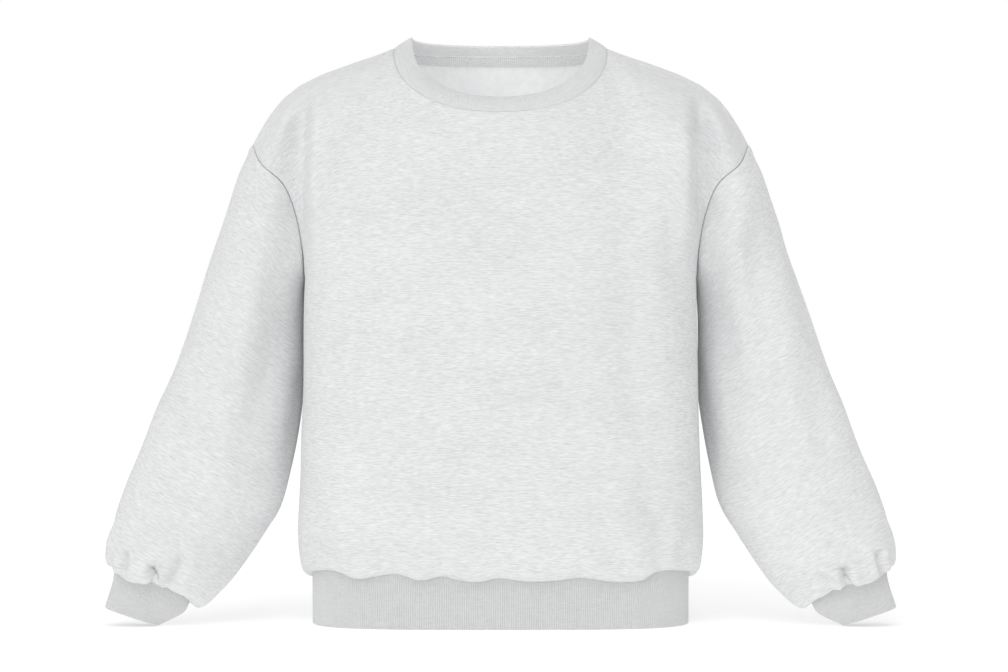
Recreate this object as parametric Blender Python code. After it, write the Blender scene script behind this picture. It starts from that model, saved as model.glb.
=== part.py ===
"""Crewneck sweatshirt, filled out with no wearer and standing on its hem band.

The garment is a boxy, drop-shouldered crewneck of brushed fleece with ribbed collar, cuffs and
hem band. Metres, +Z up, the front faces -Y. Left and right are the wearer's, so the left sleeve
is on +X. The origin is on the floor, in the middle of the garment's box.

Each cloth piece is a wall on a grid of points of its outer face. Rows of a grid run up the
garment, or down a sleeve, and columns run to the right as seen from outside. The points come
from sections worked out from the sizes below, so two pieces that are sewn together share their
seam curve, and each keeps half of SEAM_GAP back from it.
"""

import math
from collections import namedtuple

import bpy
import numpy as np

# ================================================================ sizes
# ---------------------------------------------------------------- cloth and seams
FLEECE = 0.0022
RIB = 0.0030
TAPE = 0.0012
SEAM_GAP = 0.0003

# ---------------------------------------------------------------- grid steps
SHOULDER_COLUMNS = 7  # of a body panel, from its armhole to the neck
NECK_COLUMNS = 9  # from there to the centre line
SIDE_CROWDING = 1.35  # above 1 sets a panel's columns closer together near its sides
ARMHOLE_ROWS = 10  # from the armpit to the shoulder tip
SLEEVE_ROWS = 16
CUFF_ROWS = 3
DENSE = 120  # samples of a curve before it is cut into its steps
SAME_PLACE = 1e-5  # points of two pieces in the same cell of this size are on their seam

# ---------------------------------------------------------------- torso
# One row for each ring round the torso, from the hem seam to the armpit.
# front and back are depths from the side seam, square_* how boxy that half of the ring is.
Ring = namedtuple("Ring", "z half_width front back square_front square_back")
TORSO = (
    Ring(0.0570, 0.2195, 0.1120, 0.1060, 3.4, 2.8),
    Ring(0.0640, 0.2300, 0.1215, 0.1160, 3.2, 2.8),
    Ring(0.0780, 0.2345, 0.1285, 0.1220, 3.1, 2.7),
    Ring(0.1020, 0.2365, 0.1315, 0.1250, 3.0, 2.6),
    Ring(0.1350, 0.2355, 0.1320, 0.1260, 2.9, 2.5),
    Ring(0.1800, 0.2335, 0.1310, 0.1260, 2.9, 2.4),
    Ring(0.2500, 0.2315, 0.1300, 0.1250, 2.8, 2.4),
    Ring(0.3300, 0.2300, 0.1290, 0.1230, 2.8, 2.4),
    Ring(0.4000, 0.2285, 0.1280, 0.1200, 2.8, 2.4),
)

# ---------------------------------------------------------------- hem band
HEM_RING = Ring(0.0, 0.2192, 0.1125, 0.1065, 3.5, 2.8)
HEM_STRAIGHT = 0.0300  # the band rises straight to this height, so its bottom is flat
HEM_SIDE_DIP = 0.0050  # how much lower the hem seam is at the side seams

# ---------------------------------------------------------------- shoulders and armholes
# The shoulder seam from the armhole up to the neck, as (x, z).
SHOULDER_SEAM = (
    (0.2913, 0.5575),
    (0.2825, 0.5745),
    (0.2700, 0.5945),
    (0.2562, 0.6115),
    (0.2360, 0.6275),
    (0.2100, 0.6405),
    (0.1730, 0.6540),
    (0.1442, 0.6635),
    (0.1250, 0.6710),
)
# The left armhole from the armpit to the tip of the shoulder, the front half and the back half.
Point = namedtuple("Point", "x y z")
ARMHOLE_FRONT = (
    Point(0.2285, 0.000, 0.4000),
    Point(0.2290, -0.052, 0.4280),
    Point(0.2360, -0.083, 0.4720),
    Point(0.2500, -0.086, 0.5080),
    Point(0.2765, -0.056, 0.5320),
    Point(0.2913, 0.000, 0.5575),
)
ARMHOLE_BACK = (
    Point(0.2285, 0.000, 0.4000),
    Point(0.2300, 0.050, 0.4280),
    Point(0.2400, 0.080, 0.4720),
    Point(0.2540, 0.082, 0.5100),
    Point(0.2765, 0.052, 0.5350),
    Point(0.2913, 0.000, 0.5575),
)
# A panel's columns leave the armpit ring straight up and reach the top along a lean, in degrees
# below level. Both shares are of the column's length.
RISE_SHARE = 0.36
CROWN_SHARE = 0.34
TIP_LEAN = 20.0
NECK_POINT_LEAN = 24.0
FRONT_LEAN = 67.0
BACK_LEAN = 58.0
LEAN_ONSET = 1.2  # above 1 keeps the neck point's lean further along the neck seam
FAN = 0.35  # how far the columns turn from straight ahead to square with the neck seam
ARMHOLE_REACH = 0.55  # how far the armhole's bulge reaches to the centre line, as a share

# ---------------------------------------------------------------- the valley between chest and arm
# One row for each height: where its floor lies, how deep it is, and its widths on either side.
Valley = namedtuple("Valley", "z x depth chest_width arm_width")
VALLEY = (
    Valley(0.4000, 0.2290, 0.0000, 0.020, 0.030),
    Valley(0.4300, 0.2290, 0.0140, 0.020, 0.032),
    Valley(0.4700, 0.2290, 0.0360, 0.021, 0.034),
    Valley(0.5100, 0.2290, 0.0440, 0.023, 0.034),
    Valley(0.5450, 0.2300, 0.0330, 0.025, 0.034),
    Valley(0.5750, 0.2330, 0.0150, 0.028, 0.034),
    Valley(0.6050, 0.2380, 0.0000, 0.030, 0.034),
)
VALLEY_BACK_SHARE = 0.55
VALLEY_CLEAR = 0.055  # a point nearer than this to the seams' plane moves less

# ---------------------------------------------------------------- the largest folds
# Soft troughs. side is -1 on the front and 1 on the back, and each runs straight from one (x, z)
# to the other.
Fold = namedtuple("Fold", "side x_from z_from x_to z_to width depth")
FOLDS = (
    Fold(-1, -0.149, 0.440, -0.172, 0.260, 0.022, 0.0050),
    Fold(-1, 0.141, 0.440, 0.162, 0.180, 0.022, 0.0055),
    Fold(-1, 0.162, 0.180, 0.196, 0.100, 0.018, 0.0045),
    Fold(-1, -0.160, 0.095, -0.118, 0.066, 0.014, 0.0045),
    Fold(-1, 0.297, 0.520, 0.303, 0.430, 0.016, 0.0050),
    Fold(-1, 0.303, 0.430, 0.330, 0.130, 0.018, 0.0060),
    Fold(-1, -0.292, 0.530, -0.286, 0.480, 0.014, 0.0045),
    Fold(-1, -0.345, 0.260, -0.368, 0.140, 0.018, 0.0055),
    Fold(1, -0.150, 0.470, -0.130, 0.250, 0.024, 0.0050),
    Fold(1, 0.138, 0.450, 0.158, 0.200, 0.022, 0.0055),
    Fold(1, 0.020, 0.300, -0.030, 0.110, 0.026, 0.0040),
    Fold(1, -0.305, 0.440, -0.335, 0.200, 0.018, 0.0055),
    Fold(1, 0.310, 0.400, 0.345, 0.160, 0.018, 0.0050),
)

# ---------------------------------------------------------------- neck
# half_width and side_z are at the sides. Each half has its depth and its drop below side_z.
NeckRing = namedtuple("NeckRing", "half_width side_z front front_drop back back_drop")
NECK_SEAM = NeckRing(0.1250, 0.6710, 0.1050, 0.0832, 0.0900, 0.0045)
COLLAR_MIDDLE = NeckRing(0.1130, 0.6765, 0.0985, 0.0765, 0.0830, 0.0020)
COLLAR_TOP = NeckRing(0.1005, 0.6840, 0.0890, 0.0770, 0.0760, 0.0015)
NECK_SQUARE_AHEAD = 2.25  # how boxy a neck ring looks from the front
NECK_SQUARE_ABOVE = 2.60  # and from above
TAPE_TOP = 0.0015  # both are distances below the neck seam
TAPE_BOTTOM = 0.0100
TAPE_GAP = 0.0009  # between the tape and the curved panel under it

# ---------------------------------------------------------------- sleeves
SLEEVE_CLEAR = 0.0007  # how far out the sleeves sit from the side seams, which end at the armpits
# One row for each section of the left sleeve: its outer and inner ends as x and z, its depths in
# front of and behind the line between them, how far forward that line lies, and how boxy it is.
Section = namedtuple("Section", "outer_x outer_z inner_x inner_z front back forward square")
CUFF_SEAM = Section(0.4440, 0.0640, 0.3572, 0.0230, 0.026, 0.024, 0.057, 2.3)
SLEEVE = (
    Section(0.3035, 0.5300, 0.2302, 0.3880, 0.084, 0.080, 0.000, 2.0),
    Section(0.3180, 0.4915, 0.2312, 0.3720, 0.084, 0.080, 0.000, 2.0),
    Section(0.3345, 0.4455, 0.2320, 0.3530, 0.080, 0.077, 0.001, 2.0),
    Section(0.3508, 0.3985, 0.2325, 0.3260, 0.075, 0.074, 0.004, 2.0),
    Section(0.3830, 0.3051, 0.2340, 0.2490, 0.068, 0.068, 0.012, 2.0),
    Section(0.4160, 0.2122, 0.2515, 0.1490, 0.063, 0.062, 0.028, 2.1),
    Section(0.4330, 0.1661, 0.2755, 0.1030, 0.061, 0.060, 0.038, 2.1),
    Section(0.4468, 0.1202, 0.3050, 0.0570, 0.058, 0.057, 0.046, 2.1),
    Section(0.4535, 0.0890, 0.3270, 0.0320, 0.053, 0.051, 0.052, 2.1),
    Section(0.4515, 0.0720, 0.3440, 0.0190, 0.042, 0.039, 0.056, 2.2),
    CUFF_SEAM,
)
CUFF = (
    CUFF_SEAM,
    Section(0.4455, 0.0500, 0.3660, 0.0120, 0.025, 0.023, 0.058, 2.6),
    Section(0.4545, 0.0214, 0.3925, 0.0003, 0.020, 0.018, 0.060, 2.9),
)

# ---------------------------------------------------------------- colours, from the heather
FLEECE_COLOUR = (0.74, 0.745, 0.75, 1.0)
RIB_COLOUR = (0.64, 0.645, 0.65, 1.0)


# ================================================================ curves
def at_shares(points, shares):
    """The polyline's points at shares, 0 to 1, of its length."""
    points = np.asarray(points, float)
    lengths = np.r_[0.0, np.cumsum(np.linalg.norm(np.diff(points, axis=0), axis=1))]
    wanted = np.asarray(shares) * lengths[-1]
    return np.column_stack([np.interp(wanted, lengths, axis) for axis in points.T])


def through(points, wanted):
    """The smooth curve through evenly numbered points, read at wanted from 0 to 1."""
    points = np.asarray(points, float)
    place = np.asarray(wanted, float) * (len(points) - 1)
    span = np.clip(place.astype(int), 0, len(points) - 2)
    t = (place - span)[:, None]
    slopes = np.gradient(points, axis=0)
    return (
        (2 * t**3 - 3 * t**2 + 1) * points[span]
        + (t**3 - 2 * t**2 + t) * slopes[span]
        + (3 * t**2 - 2 * t**3) * points[span + 1]
        + (t**3 - t**2) * slopes[span + 1]
    )


def smooth_curve(points, shares):
    """The smooth curve through points, at shares of its own length."""
    return at_shares(through(points, np.linspace(0, 1, DENSE)), shares)


def power(value, exponent):
    """value to the exponent, keeping its sign."""
    return np.sign(value) * np.abs(value) ** exponent


def unit(vectors):
    """The vectors at length 1."""
    return vectors / np.linalg.norm(vectors, axis=-1, keepdims=True)


def half_turn():
    """Angles from the left of a half ring to its right."""
    return np.linspace(math.pi, 0.0, DENSE)


def column_shares():
    """Where a panel's columns lie along a half ring, closer together near both sides."""
    half = SHOULDER_COLUMNS + NECK_COLUMNS
    left = 0.5 * np.linspace(0, 1, half + 1) ** SIDE_CROWDING
    return np.r_[left, 1 - left[-2::-1]]


def half_ring(ring, side):
    """The front (side -1) or back (side 1) of a torso ring, left to right as seen from outside."""
    depth, square = (ring.back, ring.square_back) if side > 0 else (ring.front, ring.square_front)
    angle = half_turn()
    x = ring.half_width * power(np.cos(angle), 2 / square)
    y = depth * power(np.sin(angle), 2 / square)
    points = np.column_stack([-side * x, side * y, np.full(DENSE, ring.z)])
    return at_shares(points, column_shares())


def half_neck(ring, side, steps):
    """The front or back of a neck ring, left to right as seen from outside."""
    depth, drop = (ring.back, ring.back_drop) if side > 0 else (ring.front, ring.front_drop)
    across = power(np.cos(half_turn()), 2 / NECK_SQUARE_AHEAD)
    dip = (1 - np.abs(across) ** NECK_SQUARE_AHEAD) ** (1 / NECK_SQUARE_AHEAD)
    bow = (1 - np.abs(across) ** NECK_SQUARE_ABOVE) ** (1 / NECK_SQUARE_ABOVE)
    points = np.column_stack([-side * ring.half_width * across, side * depth * bow, ring.side_z - drop * dip])
    return at_shares(points, np.linspace(0, 1, steps + 1))


# ================================================================ folds
def press_valleys(points):
    """Push points into the valley between the chest and each arm."""
    heights = np.array([row.z for row in VALLEY])
    x, y, z = points[..., 0], points[..., 1], points[..., 2]
    floor_x, depth, chest, arm = (
        np.interp(z, heights, [getattr(row, name) for row in VALLEY])
        for name in ("x", "depth", "chest_width", "arm_width")
    )
    away = np.abs(x) - floor_x
    bump = np.exp(-((away / np.where(away < 0, chest, arm)) ** 2))
    share = np.where(y < 0, 1.0, VALLEY_BACK_SHARE) * np.clip(np.abs(y) / VALLEY_CLEAR, 0, 1) ** 2
    pressed = points.copy()
    pressed[..., 1] -= np.sign(y) * depth * bump * share
    return pressed


def press_folds(points):
    """Push points into the largest folds."""
    pressed = points.copy()
    flat = points[..., (0, 2)]
    for fold in FOLDS:
        start = np.array((fold.x_from, fold.z_from))
        run = np.array((fold.x_to, fold.z_to)) - start
        along = np.clip((flat - start) @ run / (run @ run), 0, 1)
        away = np.linalg.norm(flat - start - along[..., None] * run, axis=-1)
        facing = np.clip(fold.side * points[..., 1] / VALLEY_CLEAR, 0, 1)
        pressed[..., 1] -= fold.side * fold.depth * facing * np.exp(-((away / fold.width) ** 2))
    return pressed


# ================================================================ outer faces
def hem_seam(side):
    """The front or back half of the seam between the body and the hem band."""
    seam = half_ring(TORSO[0], side)
    seam[:, 2] -= HEM_SIDE_DIP * (np.abs(seam[:, 0]) / TORSO[0].half_width) ** 4
    return seam


def armhole(side, hand):
    """Half of an armhole from the armpit to the shoulder tip, hand 1 for the wearer's left."""
    points = smooth_curve(ARMHOLE_BACK if side > 0 else ARMHOLE_FRONT, np.linspace(0, 1, ARMHOLE_ROWS + 1))
    return points * (hand, 1, 1)


def crown(side):
    """The top of a panel: shoulder seam, neck seam, shoulder seam, and its columns' directions."""
    climb = np.linspace(0, 1, SHOULDER_COLUMNS + 1)
    seam = at_shares([(x, 0.0, z) for x, z in SHOULDER_SEAM], climb**1.15)
    neck = half_neck(NECK_SEAM, side, 2 * NECK_COLUMNS)
    top = np.vstack([seam * (side, 1, 1), neck[1:-1], seam[::-1] * (-side, 1, 1)])

    run = np.gradient(neck, axis=0)
    square = unit(np.column_stack([run[:, 1], -run[:, 0]]))
    square[[0, -1]] = (side, 0), (-side, 0)
    square = np.vstack([climb[:-1, None] ** 2 * square[:1], square, climb[-2::-1, None] ** 2 * square[-1:]])
    level = unit((1 - FAN) * np.array((0, side)) + FAN * square)

    steep = (np.abs(neck[:, 1]) / np.abs(neck[:, 1]).max()) ** LEAN_ONSET
    centre_lean = BACK_LEAN if side > 0 else FRONT_LEAN
    shoulder_lean = TIP_LEAN + (NECK_POINT_LEAN - TIP_LEAN) * climb[:-1]
    neck_lean = NECK_POINT_LEAN + (centre_lean - NECK_POINT_LEAN) * steep
    lean = np.radians(np.r_[shoulder_lean, neck_lean, shoulder_lean[::-1]])[:, None]
    return top, np.hstack([level * np.cos(lean), -np.sin(lean)])


def upper_panel(side):
    """Rows of a panel from the armpit ring to its top."""
    bottom = half_ring(TORSO[-1], side)
    top, directions = crown(side)
    length = np.linalg.norm(top - bottom, axis=1)[:, None]
    rise = bottom + length * RISE_SHARE * np.array((0, 0, 1))
    reach = top + length * CROWN_SHARE * directions
    shares = np.linspace(0, 1, ARMHOLE_ROWS + 1)
    t = np.linspace(0, 1, DENSE)[:, None]
    columns = []
    for a, b, c, d in zip(bottom, rise, reach, top):
        curve = (1 - t) ** 3 * a + 3 * (1 - t) ** 2 * t * b + 3 * (1 - t) * t**2 * c + t**3 * d
        columns.append(at_shares(curve, shares))
    grid = np.array(columns).transpose(1, 0, 2)
    share = np.clip(column_shares() / ARMHOLE_REACH * 2, 0, 1)
    for column, hand, weights in ((0, side, share), (-1, -side, share[::-1])):
        bulge = armhole(side, hand) - grid[:, column]
        fade = (1 - weights) ** 2 * (1 + 2 * weights)
        grid += bulge[:, None, :] * fade[None, :, None]
    return grid


def panel(side):
    """The outer face of the front (side -1) or back (side 1) panel."""
    lower = [hem_seam(side)] + [half_ring(ring, side) for ring in TORSO[1:]]
    return press_folds(press_valleys(np.vstack([np.array(lower), upper_panel(side)[1:]])))


def section_ring(section):
    """A ring of a left sleeve or cuff: outer end, front, inner end, back."""
    outer = np.array((section.outer_x, -section.forward, section.outer_z))
    inner = np.array((section.inner_x, -section.forward, section.inner_z))
    angle = np.linspace(0, math.pi, DENSE)[:, None]
    line = (outer + inner) / 2 + (outer - inner) / 2 * power(np.cos(angle), 2 / section.square)
    round_out = power(np.sin(angle), 2 / section.square)
    steps = np.linspace(0, 1, ARMHOLE_ROWS + 1)
    front = at_shares(line - round_out * (0, section.front, 0), steps)
    back = at_shares(line + round_out * (0, section.back, 0), steps)
    return np.vstack([front, back[-2:0:-1]])


def sleeve(hand):
    """The outer face of a sleeve, from its armhole down to the cuff seam."""
    hole = np.vstack([armhole(-1, 1)[::-1], armhole(1, 1)[1:-1]])
    sections = through_grids([hole] + [section_ring(row) for row in SLEEVE], SLEEVE_ROWS)
    return press_folds(as_worn(press_valleys(sections), hand))


def cuff(hand):
    """The outer face of a cuff, from its seam down to its opening."""
    return as_worn(through_grids([section_ring(row) for row in CUFF], CUFF_ROWS), hand)


def through_grids(rings, rows):
    """Rings read at even steps along the smooth surface through the given rings."""
    flat = through(np.array(rings).reshape(len(rings), -1), np.linspace(0, 1, rows + 1))
    return flat.reshape(rows + 1, -1, 3)


def as_worn(rings, hand):
    """Sleeve rings with their rows upward and columns to the right as seen from outside."""
    turned = rings[::-1] * (hand, 1, 1)
    return turned[:, ::-1] if hand > 0 else turned


def neck_band():
    """The outer face of the collar, from the neck seam to its top."""
    rings = []
    for ring in (NECK_SEAM, COLLAR_MIDDLE, COLLAR_TOP):
        front, back = (half_neck(ring, side, 2 * NECK_COLUMNS) for side in (-1, 1))
        rings.append(np.vstack([front, back[1:-1]]))
    return np.array(rings)


def hem_band():
    """The outer face of the hem band, from its flat bottom to the hem seam."""
    rings = []
    for ring in (HEM_RING, HEM_RING._replace(z=HEM_STRAIGHT)):
        rings.append(np.vstack([half_ring(ring, -1), half_ring(ring, 1)[1:-1]]))
    rings.append(np.vstack([hem_seam(-1), hem_seam(1)[1:-1]]))
    return np.array(rings)


# ================================================================ walls
def grid_normals(grid, closed):
    """Unit normals of a grid whose rows run up and columns to the right, seen from outside."""
    up = np.gradient(grid, axis=0)
    if closed:
        across = np.roll(grid, -1, axis=1) - np.roll(grid, 1, axis=1)
    else:
        across = np.gradient(grid, axis=1)
    return unit(np.cross(across, up))


def hold_back(grid, seam_rows, closed, gap):
    """The grid with its seam rows, and its sides if it has them, drawn in by gap."""
    held = grid.copy()
    inward = {0: 1, -1: -2}
    for row in seam_rows:
        held[row] += unit(grid[inward[row]] - grid[row]) * gap
    for side in () if closed else (0, -1):
        held[:, side] += unit(grid[:, inward[side]] - grid[:, side]) * gap
    return held


def wall_faces(rows, columns, closed):
    """Faces of the closed wall between an outer grid and an inner grid.

    The rims are triangles cut the same way on both sides of a seam, so they stay parallel.
    """
    inner = rows * columns
    ends = columns if closed else columns - 1
    faces = []
    for r in range(rows - 1):
        for c in range(ends):
            a, b = r * columns + c, r * columns + (c + 1) % columns
            faces.append((a, b, b + columns, a + columns))
            faces.append((inner + a, inner + a + columns, inner + b + columns, inner + b))
    top = (rows - 1) * columns
    for c in range(ends):
        a, b = c, (c + 1) % columns
        faces += [(b, a, b + inner), (a, a + inner, b + inner)]
        a, b = a + top, b + top
        faces += [(a, b, b + inner), (a, b + inner, a + inner)]
    if not closed:
        for r in range(rows - 1):
            a, b = r * columns, (r + 1) * columns
            faces += [(a, b, b + inner), (a, b + inner, a + inner)]
            a, b = a + columns - 1, b + columns - 1
            faces += [(b, a, b + inner), (a, a + inner, b + inner)]
    return faces


class Piece:
    """One cloth piece: its outer face, its thickness, its material and how far it stands off.

    A rib piece is sewn at seam_row alone, where it narrows to the fleece.
    """

    def __init__(self, name, grid, closed, thickness, material, seam_row=None, shift=0.0):
        self.name = name
        self.side_of_seam = "body" if name.endswith("panel") else name
        self.grid = grid
        self.closed = closed
        self.thickness = np.full((len(grid), 1, 1), thickness)
        self.seam_rows = (0, -1)
        if seam_row is not None:
            self.thickness[seam_row] = FLEECE
            self.seam_rows = (seam_row,)
        self.material = material
        self.shift = np.array((shift, 0, 0))
        self.normals = grid_normals(grid, closed)

    def build(self):
        """Add the piece to the scene as one closed wall."""
        outer = hold_back(self.grid, self.seam_rows, self.closed, SEAM_GAP / 2) + self.shift
        inner = outer - self.normals * self.thickness
        rows, columns = self.grid.shape[:2]
        points = np.vstack([outer.reshape(-1, 3), inner.reshape(-1, 3)])
        mesh = bpy.data.meshes.new(self.name)
        mesh.from_pydata(points.tolist(), [], wall_faces(rows, columns, self.closed))
        mesh.materials.append(self.material)
        mesh.shade_smooth()
        mesh.set_sharp_from_angle(angle=math.radians(50))
        built = bpy.data.objects.new(self.name, mesh)
        bpy.context.collection.objects.link(built)
        return built


def share_seam_normals(pieces):
    """Give points that pieces share at a seam the mean of their normals.

    The two body panels count as one side of the seams with the sleeves, collar and hem band.
    """
    places = {}
    for piece in pieces:
        for index in np.ndindex(piece.grid.shape[:2]):
            key = tuple(np.round(piece.grid[index] / SAME_PLACE).astype(int))
            places.setdefault(key, []).append((piece, index))
    for shared in places.values():
        sides = {}
        for piece, index in shared:
            sides.setdefault(piece.side_of_seam, []).append(piece.normals[index])
        mean = sum(unit(np.sum(normals, axis=0)) for normals in sides.values())
        for piece, index in shared:
            piece.normals[index] = unit(mean)


def neck_tape(back, material):
    """The strip inside the back neck, made from the back panel's own points."""
    columns = slice(SHOULDER_COLUMNS, SHOULDER_COLUMNS + 2 * NECK_COLUMNS + 1)
    inner = back.grid - back.normals * (FLEECE + TAPE_GAP)
    top, below = inner[-1, columns], inner[-2, columns]
    down = unit(below - top)
    return Piece("neck_tape", np.array([top + down * TAPE_BOTTOM, top + down * TAPE_TOP]), False, TAPE, material)


# ================================================================ scene
def cloth(name, colour, roughness):
    """A plain cloth material."""
    material = bpy.data.materials.new(name)
    material.use_nodes = True
    shader = material.node_tree.nodes["Principled BSDF"]
    shader.inputs["Base Color"].default_value = colour
    shader.inputs["Roughness"].default_value = roughness
    shader.inputs["Metallic"].default_value = 0.0
    return material


def settle(built):
    """Move the garment so that its box stands centred on the origin."""
    corners = np.array([vertex.co for item in built for vertex in item.data.vertices])
    low, high = corners.min(axis=0), corners.max(axis=0)
    shift = -np.array(((low[0] + high[0]) / 2, (low[1] + high[1]) / 2, low[2]))
    for item in built:
        for vertex in item.data.vertices:
            vertex.co += type(vertex.co)(shift)


def main():
    for old in list(bpy.data.objects):
        bpy.data.objects.remove(old, do_unlink=True)
    fleece = cloth("fleece", FLEECE_COLOUR, 0.9)
    rib = cloth("rib", RIB_COLOUR, 0.9)
    back = Piece("back_panel", panel(1), False, FLEECE, fleece)
    pieces = [
        Piece("front_panel", panel(-1), False, FLEECE, fleece),
        back,
        Piece("sleeve_left", sleeve(1), True, FLEECE, fleece, shift=SLEEVE_CLEAR),
        Piece("sleeve_right", sleeve(-1), True, FLEECE, fleece, shift=-SLEEVE_CLEAR),
        Piece("neck_band", neck_band(), True, RIB, rib, seam_row=0),
        Piece("cuff_left", cuff(1), True, RIB, rib, seam_row=-1, shift=SLEEVE_CLEAR),
        Piece("cuff_right", cuff(-1), True, RIB, rib, seam_row=-1, shift=-SLEEVE_CLEAR),
        Piece("hem_band", hem_band(), True, RIB, rib, seam_row=-1),
    ]
    share_seam_normals(pieces)
    pieces.append(neck_tape(back, fleece))
    settle([piece.build() for piece in pieces])


main()
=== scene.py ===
"""Looks of a crewneck sweatshirt, filled out with no wearer and standing on its hem band.

Each cloth piece is a dense sheet on the form of its CAD solid. Panels and sleeves are thin shells
of heathered fleece with creases, and the collar, cuffs and hem band are doubled 1x1 rib
with every rib in the mesh. Metres, +Z up, the front faces -Y. Left and right are the wearer's.
"""

import logging
import math
from dataclasses import dataclass, replace
from enum import Enum
from typing import Any, Callable

import bpy
import numpy as np
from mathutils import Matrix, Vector, noise

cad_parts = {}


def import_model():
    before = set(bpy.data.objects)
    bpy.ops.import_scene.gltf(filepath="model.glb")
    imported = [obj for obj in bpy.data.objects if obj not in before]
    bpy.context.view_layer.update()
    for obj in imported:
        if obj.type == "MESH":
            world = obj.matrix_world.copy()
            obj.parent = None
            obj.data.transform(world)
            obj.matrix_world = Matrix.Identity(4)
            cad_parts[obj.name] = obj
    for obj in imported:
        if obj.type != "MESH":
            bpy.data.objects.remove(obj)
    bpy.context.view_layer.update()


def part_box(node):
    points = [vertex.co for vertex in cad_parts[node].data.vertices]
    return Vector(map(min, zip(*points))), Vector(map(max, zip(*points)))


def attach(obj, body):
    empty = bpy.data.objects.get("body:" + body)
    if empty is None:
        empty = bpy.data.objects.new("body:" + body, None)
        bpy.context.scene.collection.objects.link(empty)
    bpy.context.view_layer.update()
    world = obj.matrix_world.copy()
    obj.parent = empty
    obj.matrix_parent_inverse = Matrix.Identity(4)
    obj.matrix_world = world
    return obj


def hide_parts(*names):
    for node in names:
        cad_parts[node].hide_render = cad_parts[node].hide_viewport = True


LOG = logging.getLogger("sweatshirt")
BODY = "root"
FLAT = "flat"  # the UV map of every cloth piece, in metres on the cloth
DENSE = 120  # samples of a curve before it is cut into its steps

Array = np.ndarray


# ================================================================ choices
class Side(Enum):
    """Which half of a ring round the garment."""

    FRONT = -1
    BACK = 1


class Hand(Enum):
    """Which of the wearer's hands."""

    RIGHT = -1
    LEFT = 1


class Facing(Enum):
    """Where a crease is seen from. Its path is in the two axes across that direction."""

    FRONT = ((0, -1, 0), (0, 2))
    BACK = ((0, 1, 0), (0, 2))
    LEFT = ((1, 0, 0), (1, 2))
    RIGHT = ((-1, 0, 0), (1, 2))


class Held(Enum):
    """How a sheet is held."""

    HUNG = "hung"
    GATHERED = "gathered"
    STRETCHED = "stretched"
    LAID = "laid"


# ================================================================ curves and grids
def at_shares(points: Array, shares: Array) -> Array:
    """Read a polyline at shares of its length.

    Args:
        points: The polyline, one row a point.
        shares: Places along it, 0 to 1.

    Returns:
        One point for each share.
    """
    points = np.asarray(points, float)
    lengths = np.r_[0.0, np.cumsum(np.linalg.norm(np.diff(points, axis=0), axis=1))]
    wanted = np.asarray(shares) * lengths[-1]
    return np.column_stack([np.interp(wanted, lengths, axis) for axis in points.T])


def through(points: Array, wanted: Array) -> Array:
    """Read the smooth curve through evenly numbered points.

    Args:
        points: The points, one row each.
        wanted: Places along the numbering, 0 to 1.

    Returns:
        One row for each wanted place.
    """
    points = np.asarray(points, float)
    place = np.asarray(wanted, float) * (len(points) - 1)
    span = np.clip(place.astype(int), 0, len(points) - 2)
    t = (place - span)[:, None]
    slopes = np.gradient(points, axis=0)
    return (
        (2 * t**3 - 3 * t**2 + 1) * points[span]
        + (t**3 - 2 * t**2 + t) * slopes[span]
        + (3 * t**2 - 2 * t**3) * points[span + 1]
        + (t**3 - t**2) * slopes[span + 1]
    )


def through_grids(grids: list[Array], wanted: Array) -> Array:
    """Read the smooth surface through rings of points, at wanted places from 0 to 1."""
    flat = through(np.array(grids).reshape(len(grids), -1), wanted)
    return flat.reshape(len(wanted), -1, 3)


def power(value: Array, exponent: float) -> Array:
    """Raise value to the exponent and keep its sign."""
    return np.sign(value) * np.abs(value) ** exponent


def unit(vectors: Array) -> Array:
    """Bring vectors to length 1, apart from those of no length."""
    return vectors / np.maximum(np.linalg.norm(vectors, axis=-1, keepdims=True), 1e-12)


def ease(value: Array) -> Array:
    """Rise smoothly from 0 at 0 to 1 at 1 and stay there."""
    t = np.clip(value, 0, 1)
    return t * t * (3 - 2 * t)


def half_turn() -> Array:
    """List angles from the left of a half ring to its right."""
    return np.linspace(math.pi, 0.0, DENSE)


def normals_of(grid: Array, closed: bool) -> Array:
    """Work out the outward normals of a grid whose rows run up and columns to the right.

    Args:
        grid: Points in rows and columns.
        closed: Whether the last column repeats the first.

    Returns:
        One unit normal for each point.
    """
    up = np.gradient(grid, axis=0)
    across = np.gradient(grid, axis=1)
    if closed:
        across[:, [0, -1]] = (grid[:, 1] - grid[:, -2])[:, None]
    return unit(np.cross(across, up))


def flat_sizes(grid: Array) -> tuple[Array, Array]:
    """Lay a grid out flat.

    Args:
        grid: Points in rows and columns.

    Returns:
        For each point, metres to the right of the middle column and metres above the lowest row.
    """
    right = np.cumsum(np.linalg.norm(np.diff(grid, axis=1, prepend=grid[:, :1]), axis=2), axis=1)
    up = np.cumsum(np.linalg.norm(np.diff(grid, axis=0, prepend=grid[:1]), axis=2), axis=0)
    return right - right[:, [grid.shape[1] // 2]], up


def along_table(table: tuple[tuple[float, float], ...], place: Array) -> Array:
    """Read a table of places and amounts smoothly at each place."""
    rows = np.array(table)
    smooth = through(rows, np.linspace(0, 1, 12 * len(rows)))
    return np.interp(place, smooth[:, 0], smooth[:, 1])


def area_of(grid: Array) -> float:
    """Add up the area of a grid's faces."""
    across = np.diff(grid, axis=1)[:-1]
    up = np.diff(grid, axis=0)[:, :-1]
    return float(np.linalg.norm(np.cross(across, up), axis=2).sum())


# ================================================================ folds
@dataclass(frozen=True)
class Valley:
    """One height of the valley between the chest and each arm."""

    z: float
    x: float
    depth: float
    chest_width: float
    arm_width: float


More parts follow.
